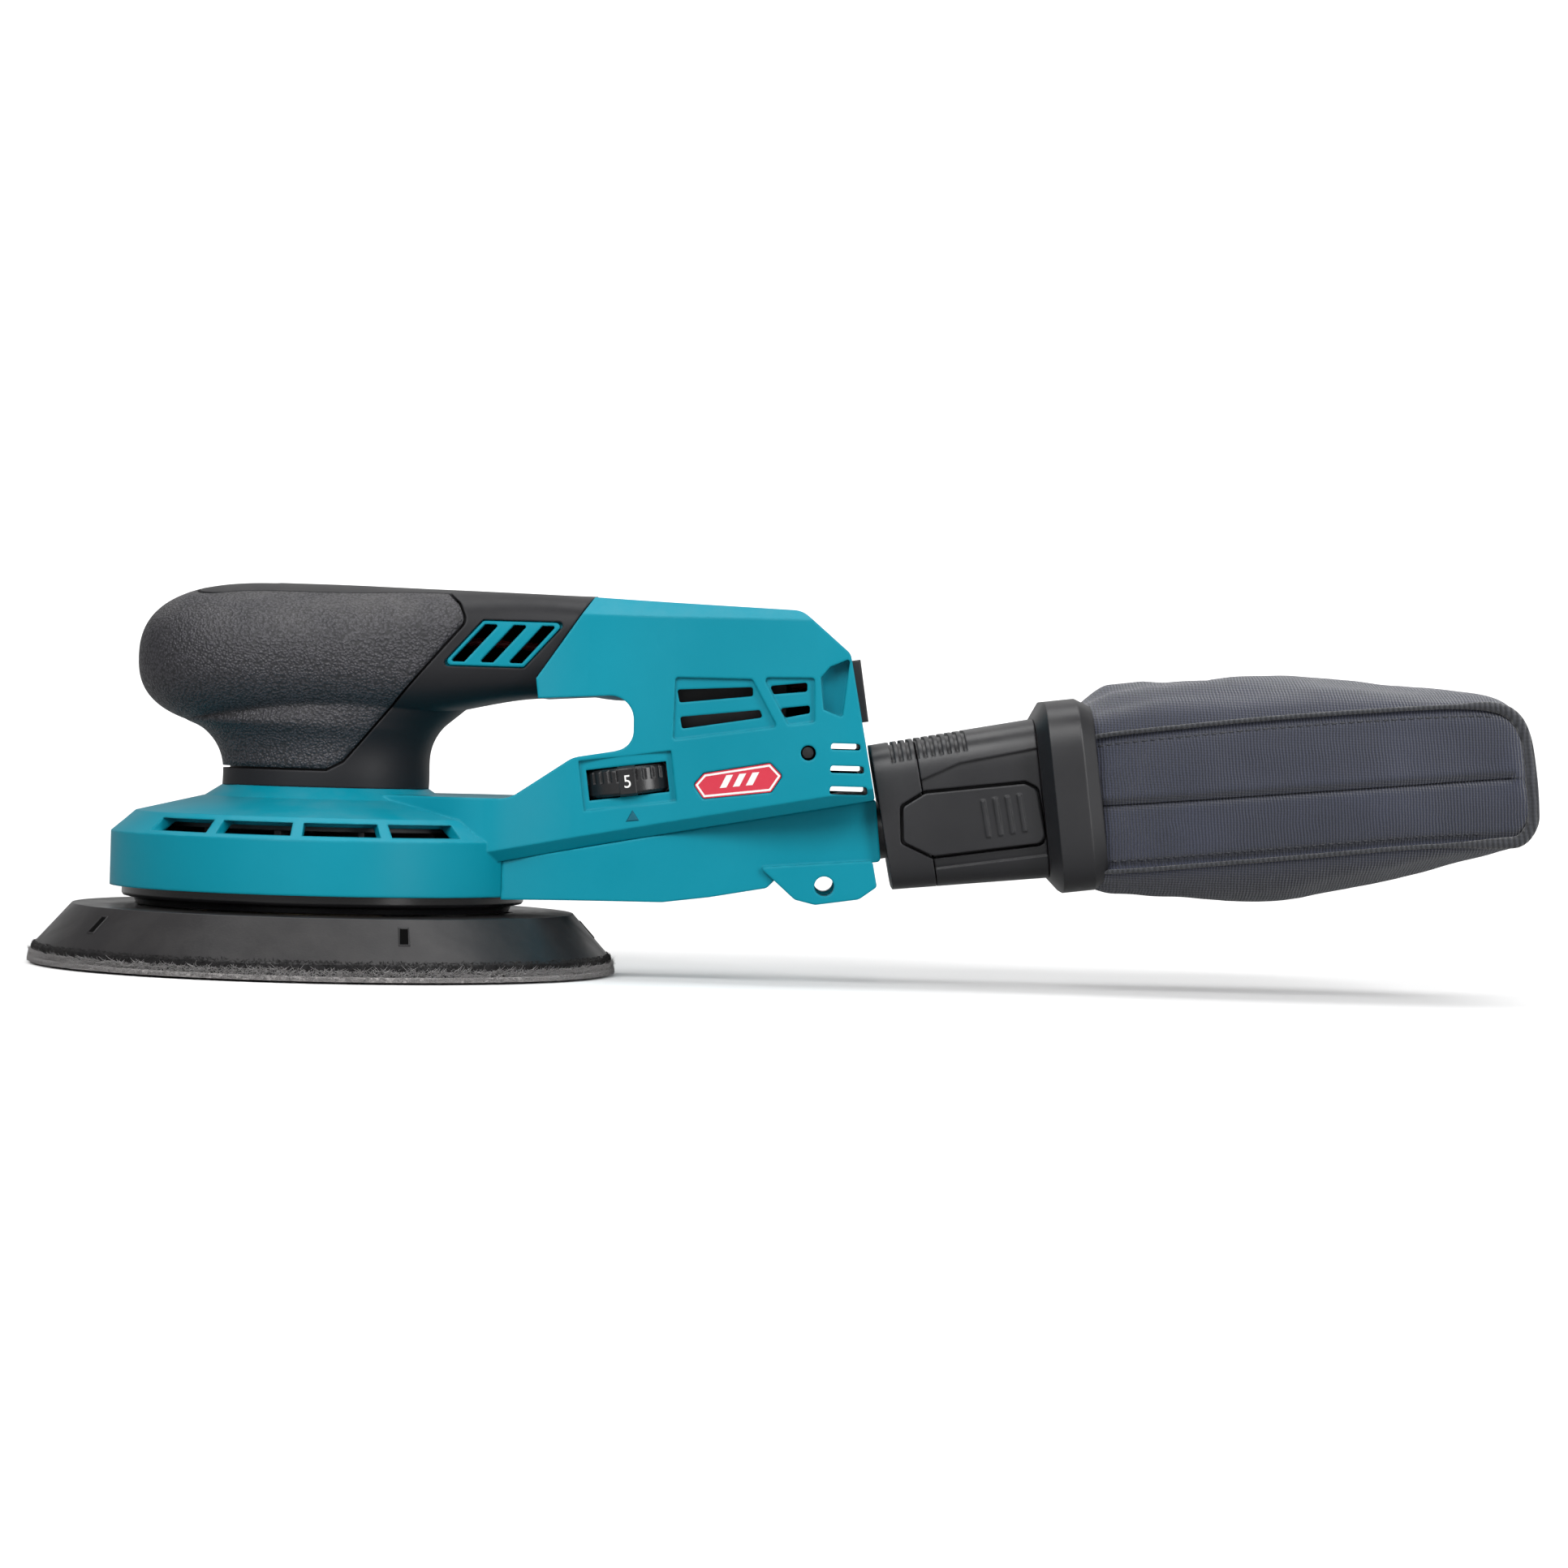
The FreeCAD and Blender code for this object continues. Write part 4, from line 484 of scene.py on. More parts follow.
RUBBER = make_rubber()
LIP = moulded("Polished brake lip", (0.008, 0.008, 0.009), (0.03, 0.03, 0.03), rough=(0.16, 0.24), soften=0.6,
              grain=(0.4, 0.004), dust=0.02)
STEEL = metal("Turned steel", (0.55, 0.55, 0.56), (0.25, 0.4))
ALUMINIUM = metal("Cast aluminium", (0.72, 0.72, 0.73), (0.4, 0.55), (0.8, 0.03))
BRASS = metal("Brass", (0.7, 0.52, 0.25), (0.25, 0.4))
COPPER = metal("Enamelled copper", (0.6, 0.25, 0.12), (0.25, 0.35))
print("materials so far:", len(bpy.data.materials))

# %% [markdown]
# ### Hooks and abrasive
#
# The hook layer and the disc's backing are felt-like.  Hair particles over the whole face would be heavy and
# can't be seen from above, so a fine noise gives their colour and bump, and only the rim gets real fibres,
# further down.

# %% Materials: hook layer and abrasive
def make_fuzz(name, low, high, depth, scale):
    """A felt-like nap: noisy colour and a deep, fine bump."""
    material, tree, shader = new_material(name)
    millimetres = object_millimetres(tree)
    fibres = add(tree, "ShaderNodeTexNoise", {"Vector": millimetres, "Scale": scale, "Detail": 6.0,
                                              "Roughness": 0.75})
    bump = add(tree, "ShaderNodeBump", {"Height": fibres.outputs["Fac"], "Distance": depth * MM,
                                        "Strength": 1.0})
    spread = add(tree, "ShaderNodeMapRange", {"Value": fibres.outputs["Fac"], "From Min": 0.3,
                                              "From Max": 0.7})
    tone = mix_colour(tree, spread.outputs[0], low + (1,), high + (1,))
    tree.links.new(tone, shader.inputs["Base Color"])
    tree.links.new(bump.outputs["Normal"], shader.inputs["Normal"])
    shader.inputs["Roughness"].default_value = 0.95
    shader.inputs["Sheen Weight"].default_value = 0.3
    return material


HOOKS = make_fuzz("Hook fastening", (0.008, 0.008, 0.009), (0.09, 0.09, 0.09), 0.4, 1.6)
ABRASIVE = make_fuzz("Abrasive and loop backing", (0.16, 0.15, 0.15), (0.5, 0.48, 0.47), 0.3, 1.4)
print("felt-like materials:", HOOKS.name, "and", ABRASIVE.name)

# %% [markdown]
# ## Give each solid its finish
#
# The solids below have the right shape already, so only their material changes.

# %% Assign materials to the frame's nodes
FINISHES = [
    (TEAL, ["housing_left", "housing_right", "dust_duct"]),
    (GRIP, ["palm_grip_left", "palm_grip_right"]),
    (COVER, ["handle_cover_left", "handle_cover_right", "power_button"]),
    (BLACK, ["adapter_front", "adapter_rear", "bag_collar", "clamp_ring", "dust_nozzle", "latch_left",
             "latch_right", "terminal_block", "dial_potentiometer", "switch_unit", "controller"]),
    (DIAL, ["speed_dial"]),
    (RED, ["side_badge"]),
    (RUBBER, ["pad_cushion", "nozzle_seal"]),
    (LIP, ["brake_ring"]),
    (GREY, ["pad_hub_plate", "dust_fan"]),
    (HOOKS, ["hook_layer"]),
    (ABRASIVE, ["abrasive_disc"]),
    (STEEL, ["motor_shaft", "pad_spindle", "pad_bolt", "pad_washer", "housing_screws", "pad_bearing",
             "lower_bearing", "upper_bearing", "motor_can", "latch_spring_left", "latch_spring_right",
             "rotor_core", "stator_core", "rotor_magnets"]),
    (ALUMINIUM, ["eccentric_hub", "bearing_bracket", "motor_cap"]),
    (BRASS, ["counterweight", "terminal_blades"]),
    (COPPER, ["windings"]),
    (GREEN, ["position_sensor_board"]),
    (WIRE, ["motor_leads", "battery_leads"]),
]
for material, names in FINISHES:
    for name in names:
        nodes[name].data.materials.clear()
        nodes[name].data.materials.append(material)
print("finished nodes:", sum(len(names) for material, names in FINISHES))

# %% [markdown]
# ## The dust bag
#
# The bag is sewn from two flat side panels and one long gusset that runs over the top, round the far end
# and back under.  A piped seam joins them.  It could be one lofted tube, but then the seams would have no
# place to sit, so the panels and the gusset are built as the sewer would cut them.

# %% Material: ribbed filter cloth
def make_ribbed(name, base, valley, pitch):
    """Cloth with fine upright ribs, pitch millimetres apart."""
    material, tree, shader = new_material(name)
    millimetres = object_millimetres(tree)
    split = add(tree, "ShaderNodeSeparateXYZ", {0: millimetres})
    wobble = add(tree, "ShaderNodeTexNoise", {"Vector": millimetres, "Scale": 0.12, "Detail": 2.0})
    lean = add(tree, "ShaderNodeMath", {0: split.outputs["Z"], 1: 0.09, 2: split.outputs["X"]},
               operation="MULTIPLY_ADD")
    shifted = add(tree, "ShaderNodeMath", {0: wobble.outputs["Fac"], 1: 1.2, 2: lean.outputs[0]},
                  operation="MULTIPLY_ADD")
    turns = add(tree, "ShaderNodeMath", {0: shifted.outputs[0], 1: 2 * math.pi / pitch}, operation="MULTIPLY")
    wave = add(tree, "ShaderNodeMath", {0: turns.outputs[0]}, operation="SINE")
    across = add(tree, "ShaderNodeMath", {0: split.outputs["Z"], 1: 2 * math.pi / (pitch * 0.8)},
                 operation="MULTIPLY")
    knit = add(tree, "ShaderNodeMath", {0: across.outputs[0]}, operation="SINE")
    height = add(tree, "ShaderNodeMath", {0: knit.outputs[0], 1: 0.18, 2: wave.outputs[0]},
                 operation="MULTIPLY_ADD")
    fluff = add(tree, "ShaderNodeTexNoise", {"Vector": millimetres, "Scale": 3.5, "Detail": 4.0})
    total = add(tree, "ShaderNodeMath", {0: fluff.outputs["Fac"], 1: 1.2, 2: height.outputs[0]},
                operation="MULTIPLY_ADD")
    bump = add(tree, "ShaderNodeBump", {"Height": total.outputs[0], "Distance": 0.00014, "Strength": 1.0})
    ridge = add(tree, "ShaderNodeMapRange", {"Value": total.outputs[0], "From Min": -0.8, "From Max": 1.8})
    cloth = mix_colour(tree, ridge.outputs[0], valley + (1,), base + (1,))
    broad = add(tree, "ShaderNodeTexNoise", {"Vector": millimetres, "Scale": 0.05, "Detail": 3.0})
    film = add(tree, "ShaderNodeMapRange", {"Value": broad.outputs["Fac"], "From Min": 0.45, "From Max": 0.8,
                                            "To Max": 0.22})
    faded = mix_colour(tree, film.outputs[0], cloth, tuple(min(1, c * 1.8) for c in base) + (1,))
    tree.links.new(faded, shader.inputs["Base Color"])
    tree.links.new(bump.outputs["Normal"], shader.inputs["Normal"])
    shader.inputs["Roughness"].default_value = 0.85
    shader.inputs["Sheen Weight"].default_value = 0.35
    shader.inputs["Sheen Roughness"].default_value = 0.5
    return material


CLOTH = make_ribbed("Ribbed filter cloth", (0.033, 0.038, 0.066), (0.008, 0.010, 0.017), 0.8)
PIPING = make_ribbed("Overlocked piping", (0.035, 0.037, 0.045), (0.006, 0.007, 0.009), 1.3)
THREAD = moulded("Stitching thread", (0.03, 0.032, 0.04), (0.05, 0.05, 0.06), rough=(0.6, 0.75), wear=0.0)
print("cloth materials:", CLOTH.name, "/", PIPING.name, "/", THREAD.name)

# %% [markdown]
# ### The panel's outline
#
# Seen from the side, the panel is long and slightly tapered, with two rounded corners at its far end.
# The outline is a smooth curve through a few points from the collar's top, round the end, to its bottom.

# %% The panel's outline
PANEL = [(191.0, 62.6), (198.0, 65.0), (216.0, 67.6), (240.0, 70.6), (266.0, 73.2), (286.0, 74.8),
         (296.0, 75.0), (301.5, 72.8), (304.6, 67.5), (306.4, 58.0), (307.2, 50.0), (307.0, 45.5),
         (304.2, 41.6), (299.0, 40.7), (286.0, 39.8), (272.0, 38.6), (248.0, 35.8), (226.0, 33.4),
         (204.0, 30.9), (191.0, 30.2)]
SPLINE_STEPS = 20


def spline(points, samples):
    """Catmull-Rom points through 2-D points, evenly spaced along the curve."""
    dense = []
    for i in range(len(points) - 1):
        p0 = Vector(points[max(i - 1, 0)])
        p1 = Vector(points[i])
        p2 = Vector(points[i + 1])
        p3 = Vector(points[min(i + 2, len(points) - 1)])
        for k in range(SPLINE_STEPS):
            t = k / SPLINE_STEPS
            dense.append(0.5 * (2 * p1 + (p2 - p0) * t + (2 * p0 - 5 * p1 + 4 * p2 - p3) * t * t
                                + (3 * p1 - p0 - 3 * p2 + p3) * t ** 3))
    dense.append(Vector(points[-1]))
    lengths = [0.0]
    for a, b in zip(dense, dense[1:]):
        lengths.append(lengths[-1] + (b - a).length)
    out = []
    j = 0
    for i in range(samples):
        want = lengths[-1] * i / (samples - 1)
        while j < len(dense) - 2 and lengths[j + 1] < want:
            j += 1
        share = (want - lengths[j]) / max(lengths[j + 1] - lengths[j], 1e-9)
        out.append(dense[j].lerp(dense[j + 1], share))
    return out


SEAM_POINTS = 240
seam = spline(PANEL, SEAM_POINTS)
print("seam length, mm:", round(sum((b - a).length for a, b in zip(seam, seam[1:])), 1))

# %% [markdown]
# ### How wide the bag is, and how far the gusset swells
#
# The bag is narrowest where the collar grips it.  The gusset swells over the top and bottom, and lies
# nearly flat round the far end, where the panel's edges hold it straight.

# %% Width and swell
def ease(x, start, end):
    """0 before start, 1 past end, and a smooth rise between them."""
    share = max(0.0, min(1.0, (x - start) / (end - start)))
    return share * share * (3 - 2 * share)


def along_table(table, x):
    """The value at x from (x, value) pairs, in a straight line from one to the next."""
    for (x0, v0), (x1, v1) in zip(table, table[1:]):
        if x <= x1:
            share = max(0.0, (x - x0) / (x1 - x0))
            return v0 + (v1 - v0) * share
    return table[-1][1]


TOP_SWELL = [(191, 5.5), (197, 8.6), (203, 11.0), (212, 12.2), (228, 11.7), (245, 9.8), (260, 7.6),
             (275, 5.4), (295, 3.0), (302, 2.2), (308, 1.8)]
BOTTOM_SWELL = [(191, 3.4), (201, 5.0), (212, 6.8), (231, 9.8), (250, 10.8), (262, 10.2), (275, 8.4),
                (290, 5.2), (302, 2.4), (308, 1.8)]
MOUTH_HALF_WIDTH = 24.2
MIDDLE_GROWS = 6.6
END_SHRINKS = 2.6


def half_width(x):
    """Half the bag's width, from its mouth in the collar to its far end."""
    return MOUTH_HALF_WIDTH + MIDDLE_GROWS * ease(x, 194, 226) - END_SHRINKS * ease(x, 262, 308)


def swell(x, z):
    """How far the gusset's middle stands proud of the seam."""
    middle = 50.0 + (x - 200.0) * 0.07
    return along_table(TOP_SWELL if z > middle else BOTTOM_SWELL, x)


def ripple(x, y, z):
    """Slack cloth: folds that fan out from the collar, and soft dents further back."""
    near = 1 - ease(x, 194, 246)
    fan = math.sin(y * 0.36 + 0.9 + (x - 195) * 0.06 + z * 0.16) * math.cos((x - 195) * 0.05 + y * 0.04)
    broad = noise.noise(Vector((x * 0.034, y * 0.05, z * 0.045 + 3.1)))
    small = noise.noise(Vector((x * 0.10, y * 0.08 + 5.0, z * 0.12)))
    return 0.85 * near * fan + 2.1 * broad + 0.45 * small


print("half width at the mouth, middle and end, mm:", [round(half_width(x), 1) for x in (191, 245, 308)])

# %% [markdown]
# ### The gusset
#
# The gusset follows the seam, and each of its rows crosses the bag from one side panel to the other.  A row
# is a flattened arch: steep at the seams and nearly level in the middle, as stuffed cloth lies.  The folds
# fade out at the seams, so that the gusset still meets the panels.

# %% Gusset
BAG_CENTRE = Vector((250, 53))
ARCH_FLATNESS = 2.6
ARCH_STEEPNESS = 0.62


def make_gusset():
    """The strip that runs over the top, round the far end and back under."""
    across = 48
    verts = []
    for i, point in enumerate(seam):
        before = seam[max(i - 1, 0)]
        after = seam[min(i + 1, SEAM_POINTS - 1)]
        along = (after - before).normalized()
        normal = Vector((-along.y, along.x))
        if normal.dot(point - BAG_CENTRE) < 0:
            normal = -normal
        width = half_width(point.x)
        proud = swell(point.x, point.y)
        for j in range(across + 1):
            t = -1 + 2 * j / across
            bulge = (1 - abs(t) ** ARCH_FLATNESS) ** ARCH_STEEPNESS if abs(t) < 1 else 0.0
            y = t * width
            fade = min(1.0, (1 - abs(t)) * 4) * min(1.0, proud / 5) * ease(point.x, 193, 203)
            rise = proud * bulge + ripple(point.x, y, point.y) * fade
            place = point + normal * rise
            verts.append((place.x, y, place.y))
    faces = grid_faces(SEAM_POINTS, across + 1)
    return outward(new_object("bag_gusset", verts, faces, CLOTH))


bag_pieces = [make_gusset()]
print("gusset points:", len(bag_pieces[0].data.vertices))

# %% [markdown]
# ### Side panels
#
# Each panel is drawn as rings that shrink from the seam to a line along its middle.  That line is the
# pressed crease where the bag folds flat, so it gets a shallow valley.

# %% Side panels
CREASE_START = Vector((191.0, 46.6))
CREASE_END = Vector((301.0, 57.3))
PANEL_PUFF = 3.0
PANEL_RINGS = 34


def spine(point):
    """The nearest place on the panel's pressed crease."""
    along = CREASE_END - CREASE_START
    share = max(0.0, min(1.0, (point - CREASE_START).dot(along) / along.length_squared))
    return CREASE_START + along * share


def panel_depth(point, core, edge):
    """How far out the panel lies, edge mm in from its seam point towards the crease."""
    span = (point - core).length
    off = span - edge
    r = off / span
    place = point + (core - point).normalized() * edge
    puff = PANEL_PUFF * (1 - r ** 2.2) * ease(place.x, 190, 215)
    lip = 0.5 if point.y > core.y else -0.6
    valley = 2.0 * math.exp(-(off / 1.1) ** 2) - lip * math.exp(-(off / 4.0) ** 2)
    dip = 1.3 * math.exp(-((edge - 1.3) / 1.2) ** 2)
    slack = ripple(place.x, 30, place.y) * min(1, edge / span * 3) * 0.55 * ease(place.x, 193, 205)
    return half_width(place.x) + puff - valley - dip + slack


def make_panel(side):
    """One flat side of the bag; side is -1 for the left and 1 for the right."""
    verts = []
    for point in seam:
        core = spine(point)
        for j in range(PANEL_RINGS + 1):
            edge = (1 - j / PANEL_RINGS) * (point - core).length
            place = point + (core - point).normalized() * edge
            y = panel_depth(point, core, edge)
            verts.append((place.x, side * y, place.y))
    faces = grid_faces(SEAM_POINTS, PANEL_RINGS + 1)
    panel = new_object("bag_panel_" + ("left" if side < 0 else "right"), verts, faces, CLOTH)
    bm = bmesh.new()
    bm.from_mesh(panel.data)
    bmesh.ops.remove_doubles(bm, verts=bm.verts, dist=0.00002)
    bm.to_mesh(panel.data)
    bm.free()
    return outward(panel)


print("crease length, mm:", round((CREASE_END - CREASE_START).length, 1))

# %% [markdown]
# ### Piping and stitches
#
# The piping is thickest round the far end, where the overlocked edges of three layers meet.  The stitches
# are small humped lozenges, each from one needle hole to the next; a dashed texture would stay flat.

# %% Piping and stitches
STITCH_INSET = 2.6
STITCH_RADIUS = 0.24
STITCHED_TO = 294


def make_piping(side):
    """The thick overlocked edge that runs along the seam."""
    path = [(p.x, side * (half_width(p.x) + 0.2), p.y) for p in seam]

    def radius(share):
        return 0.55 + 1.0 * math.exp(-((share - 0.5) / 0.11) ** 6)
    return tube("bag_piping_" + ("left" if side < 0 else "right"), path, radius, PIPING, sides=12)


def make_stitches(side):
    """A row of lock stitches inside the lower seam and the upper one."""
    verts = []
    faces = []
    fine = spline(PANEL, 3 * SEAM_POINTS // 2)
    for i in range(9, len(fine) - 9, 3):
        point, after = fine[i], fine[i + 2]
        if point.x > STITCHED_TO:
            continue
        core = spine(point)
        inward = (core - point).normalized()
        ends = []
        for end in (point, after):
            place = end + inward * STITCH_INSET
            ends.append(Vector((place.x, side * panel_depth(end, core, STITCH_INSET), place.y)))
        base = len(verts)
        along = (ends[1] - ends[0]).normalized()
        up = along.cross(Vector((0, 1, 0)))
        for k in range(5):
            t = k / 4
            r = STITCH_RADIUS * math.sqrt(max(0.05, math.sin(math.pi * (0.08 + 0.84 * t))))
            centre = ends[0].lerp(ends[1], t) + Vector((0, side * (0.16 * math.sin(math.pi * t) + 0.05), 0))
            for a in range(6):
                angle = a * math.pi / 3
                verts.append(centre + up * (r * math.cos(angle)) + Vector((0, r * math.sin(angle), 0)))
        for k in range(4):
            for a in range(6):
                b = (a + 1) % 6
                faces.append((base + k * 6 + a, base + k * 6 + b, base + k * 6 + 6 + b, base + k * 6 + 6 + a))
        faces.append(tuple(base + a for a in range(6))[::-1])
        faces.append(tuple(base + 24 + a for a in range(6)))
    return outward(new_object("bag_stitches_" + ("left" if side < 0 else "right"), verts, faces, THREAD))


for side in (-1, 1):
    bag_pieces += [make_panel(side), make_piping(side), make_stitches(side)]
for piece in bag_pieces:
    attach(piece, "bag_unit")
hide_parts("dust_bag")
print("bag pieces:", len(bag_pieces))

# %% [markdown]
# ## Finding the surface
#
# Printed marks and small raised details lie on curved mouldings.  A ray cast straight through the side
# finds how far out the surface is at any place.

# %% Rays against a node
def surface_of(node):
    """A function of (x, z) in millimetres that gives Y, in millimetres, of the node's left face."""
    tree = BVHTree.FromPolygons([v.co for v in nodes[node].data.vertices],
                                [tuple(p.vertices) for p in nodes[node].data.polygons])

    def at(x, z):
        hit = tree.ray_cast(mm(x, -80, z), Vector((0, 1, 0)))[0]
        return hit.y / MM if hit else None
    return at


def on_side(name, loops, surface, lift, material):
    """A thin print between matching loops of (x, z) points, lying on a surface of the left side."""
    count = len(loops[0])
    verts = [(x, surface(x, z) - lift, z) for loop in loops for x, z in loop]
    faces = grid_faces(len(loops), count, closed_columns=True)
    return outward(new_object(name, verts, faces, material, False))


print("the housing's left face at the dial's window, Y in mm:", round(surface_of("housing_left")(80, 41), 1))

# %% [markdown]
# ## The badge
#
# A red plastic hexagon with a white printed rim.  Between its ends sit three slanted white bars, a mark
# that means nothing.

# %% Badge prints
BADGE = [(95.4, 49.7), (97.9, 46.3), (115.0, 48.5), (117.7, 52.7), (114.6, 55.8), (97.9, 52.7)]


def shrink(corners, distance):
    """The outline drawn in by distance all round; corners run anticlockwise."""
    out = []
    for i, corner in enumerate(corners):
        here, before, after = Vector(corner), Vector(corners[i - 1]), Vector(corners[(i + 1) % len(corners)])
        a = (here - before).normalized()
        b = (after - here).normalized()
        na, nb = Vector((-a.y, a.x)), Vector((-b.y, b.x))
        out.append(here + (na + nb) * (distance / (1 + na.dot(nb))))
    return out


def divided(corners, steps=8):
    """The outline with each side cut into steps."""
    return [Vector(corners[i]).lerp(Vector(corners[(i + 1) % len(corners)]), k / steps)
            for i in range(len(corners)) for k in range(steps)]


PRINT_LIFT = 0.03
BAR = [(102.0, 49.1), (103.7, 49.3), (105.3, 52.6), (103.6, 52.4)]
BAR_STEP = (3.3, 0.43)

badge_face = surface_of("side_badge")
rim_loops = [divided(shrink(BADGE, inset)) for inset in (0.35, 0.85)]
prints = [on_side("badge_rim", rim_loops, badge_face, PRINT_LIFT, WHITE)]
for i in range(3):
    outline = [(x + BAR_STEP[0] * i, z + BAR_STEP[1] * i) for x, z in BAR]
    loop = divided(outline, 3)
    middle = sum((Vector(p) for p in outline), Vector((0, 0))) / 4
    loops = [loop, [p.lerp(middle, 0.98) for p in loop]]
    prints.append(on_side(f"badge_bar_{i + 1}", loops, badge_face, PRINT_LIFT, WHITE))
for piece in prints:
    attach(piece, "housing")
print("badge prints:", len(prints))

# %% [markdown]
# ## Speed dial
#
# The dial is a ribbed thumbwheel.  A smooth raised patch interrupts the ribs for each number, and the
# number is printed on the patch in white.  Only the patch at the window shows.

# %% Numbers on the dial
DIAL_MIDDLE = Vector((78.6, -12.5, 50.2))
DIAL_TILT = Matrix.Rotation(math.radians(-8), 3, "Y")
PATCH_HALF_ANGLE = 9.5
PATCH_HALF_HEIGHT = 3.2
PATCH_ROOT = 12.2
PATCH_TOP = 13.12
NUMBER_STEP = 60


def on_dial(angle, radius, up):
    """A point on the dial; angle is in degrees round its axis from the window's middle."""
    turn = math.radians(angle - 90)
    return DIAL_MIDDLE + DIAL_TILT @ Vector((radius * math.cos(turn), radius * math.sin(turn), up))


def dial_patch(number, angle):
    """The smooth patch under a number, a little proud of the ribs."""
    verts = []
    steps = 10
    for radius, grow in ((PATCH_ROOT, 0.6), (PATCH_TOP, 0.0)):
        half = PATCH_HALF_ANGLE + grow * 2
        for up in (-PATCH_HALF_HEIGHT - grow, PATCH_HALF_HEIGHT + grow):
            verts += [on_dial(angle - half + 2 * half * k / steps, radius, up) for k in range(steps + 1)]
    lower, upper = 2 * (steps + 1), 3 * (steps + 1)
    faces = []
    for k in range(steps):
        faces.append((lower + k, lower + k + 1, upper + k + 1, upper + k))
        faces.append((k, k + 1, lower + k + 1, lower + k))
        faces.append((upper + k, upper + k + 1, steps + 2 + k, steps + 1 + k))
    faces.append((0, lower, upper, steps + 1))
    faces.append((lower + steps, steps, 2 * steps + 1, upper + steps))
    return outward(new_object(f"dial_patch_{number}", verts, faces, DIAL, False))


def dial_number(number, angle):
    """A printed number, wrapped round the dial."""
    curve = bpy.data.curves.new("number", "FONT")
    curve.body = str(number)
    curve.size = 4.6
    curve.align_x = "CENTER"
    curve.extrude = 0.03
    text = bpy.data.objects.new("number", curve)
    bpy.context.scene.collection.objects.link(text)
    bpy.context.view_layer.update()
    flat = bpy.data.meshes.new_from_object(text.evaluated_get(bpy.context.evaluated_depsgraph_get()))
    verts = [on_dial(angle + math.degrees(v.co.x * 0.92 / 13.1), 13.15 + v.co.z, v.co.y - 1.65)
             for v in flat.vertices]
    faces = [tuple(p.vertices) for p in flat.polygons]
    bpy.data.objects.remove(text)
    return new_object(f"dial_number_{number}", verts, faces, WHITE, False)


for step, number in enumerate((5, 4, 3, 2, 1)):
    for piece in (dial_patch(number, NUMBER_STEP * step), dial_number(number, NUMBER_STEP * step)):
        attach(piece, "dial")
print("numbers on the dial: 5, 4, 3, 2, 1")

# %% [markdown]
# ## The index mark
#
# A small raised triangle under the window says which number is set.

# %% Index mark
left_side = surface_of("housing_left")
TRIANGLE = [(78.3, 39.8), (81.9, 40.2), (80.0, 43.0)]
MARK_ROOT = 0.05
MARK_RAISED = 0.32


def make_index():
    outer = divided(TRIANGLE, 4)
    inner = divided(shrink(TRIANGLE, 0.3), 4)
    centre = sum(inner, Vector((0, 0))) / len(inner)
    verts = [(p.x, left_side(p.x, p.y) + MARK_ROOT, p.y) for p in outer]
    verts += [(p.x, left_side(p.x, p.y) - MARK_RAISED, p.y) for p in inner]
    verts.append((centre.x, left_side(centre.x, centre.y) - MARK_RAISED, centre.y))
    count = len(outer)
    faces = grid_faces(2, count, closed_columns=True)
    faces += [(count + k, count + (k + 1) % count, 2 * count) for k in range(count)]
    return outward(new_object("index_mark", verts, faces, INDEX, False))


INDEX = moulded("Index mark", (0.001, 0.10, 0.145), (0.02, 0.2, 0.25), soften=0.15, shine=0.3, dust=0.03)
index_mark = make_index()
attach(index_mark, "housing")
print("index mark faces:", len(index_mark.data.polygons))

# %% [markdown]
# ## Painted shade behind the cooling slots
#
# A near-black pleated sheet stands inside the handle and another inside the body, so that the slots show
# darkness and not the far side: painted shade for the tool's shadowed inside.  Each is a folded sheet with a
# real thickness.

# %% Painted shade sheets
# Near-black sheet material: painted shade, seen through the cooling slots.
SHADE_SHEET = moulded("Pleated shade sheet", (0.010, 0.010, 0.011), (0.02, 0.02, 0.02), rough=(0.6, 0.8), wear=0.0,
                 shine=0.2)
SHADE_SHEETS = [
    ("handle_shade_sheet", (30.0, 62.0), (77.0, 92.0), 10.0),
    ("body_shade_sheet", (89.5, 126.5), (64.6, 79.0), 17.5),
]
SHEET_THICKNESS = 0.5
FOLD_DEPTH = 0.45


def make_screen(name, across, up, depth):
    """A pleated upright sheet; across and up are its ends in X and Z, depth its place in Y."""
    pleats = 24
    verts = []
    for back in (0.0, SHEET_THICKNESS):
        for i in range(2 * pleats + 1):
            x = across[0] + (across[1] - across[0]) * i / (2 * pleats)
            fold = FOLD_DEPTH * (-1) ** i
            verts += [(x, depth + back + fold, up[0]), (x, depth + back + fold, up[1])]
    columns = 2 * pleats + 1
    front = grid_faces(columns, 2)
    rear = [tuple(v + 2 * columns for v in reversed(face)) for face in front]
    rim = []
    for i in range(columns - 1):
        for level in (0, 1):
            a, b = 2 * i + level, 2 * i + 2 + level
            rim.append((a, b, b + 2 * columns, a + 2 * columns))
    for i in (0, columns - 1):
        rim.append((2 * i, 2 * i + 1, 2 * i + 1 + 2 * columns, 2 * i + 2 * columns))
    return outward(new_object(name, verts, front + rear + rim, SHADE_SHEET, False))


for name, across, up, depth in SHADE_SHEETS:
    piece = make_screen(name, across, up, depth)
    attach(piece, "housing")
print("screens:", len(SHADE_SHEETS))

# %% [markdown]
# ## Nap round the pad's edge
#
# The hook layer and the disc's backing are cut from napped sheet, so short fibres stick out all round.
# Each fibre is a thin three-sided tube with a random bend, which a strong bump alone can't show at an edge.

# %% Fibres
PAD_AXIS = Vector((0.0, 2.5, 0.0))
BEVEL_FOOT = (74.2, 4.2)
BEVEL_TOP = (64.5, 15.0)


def pad_edge(height):
    """The pad's radius at a height: disc, hook layer, rim, then the bevel."""
    if height < 1.2:
        return 75.0
    if height < 2.7:
        return 73.8
    return BEVEL_FOOT[0] - 0.9 * max(0.0, height - BEVEL_FOOT[1])


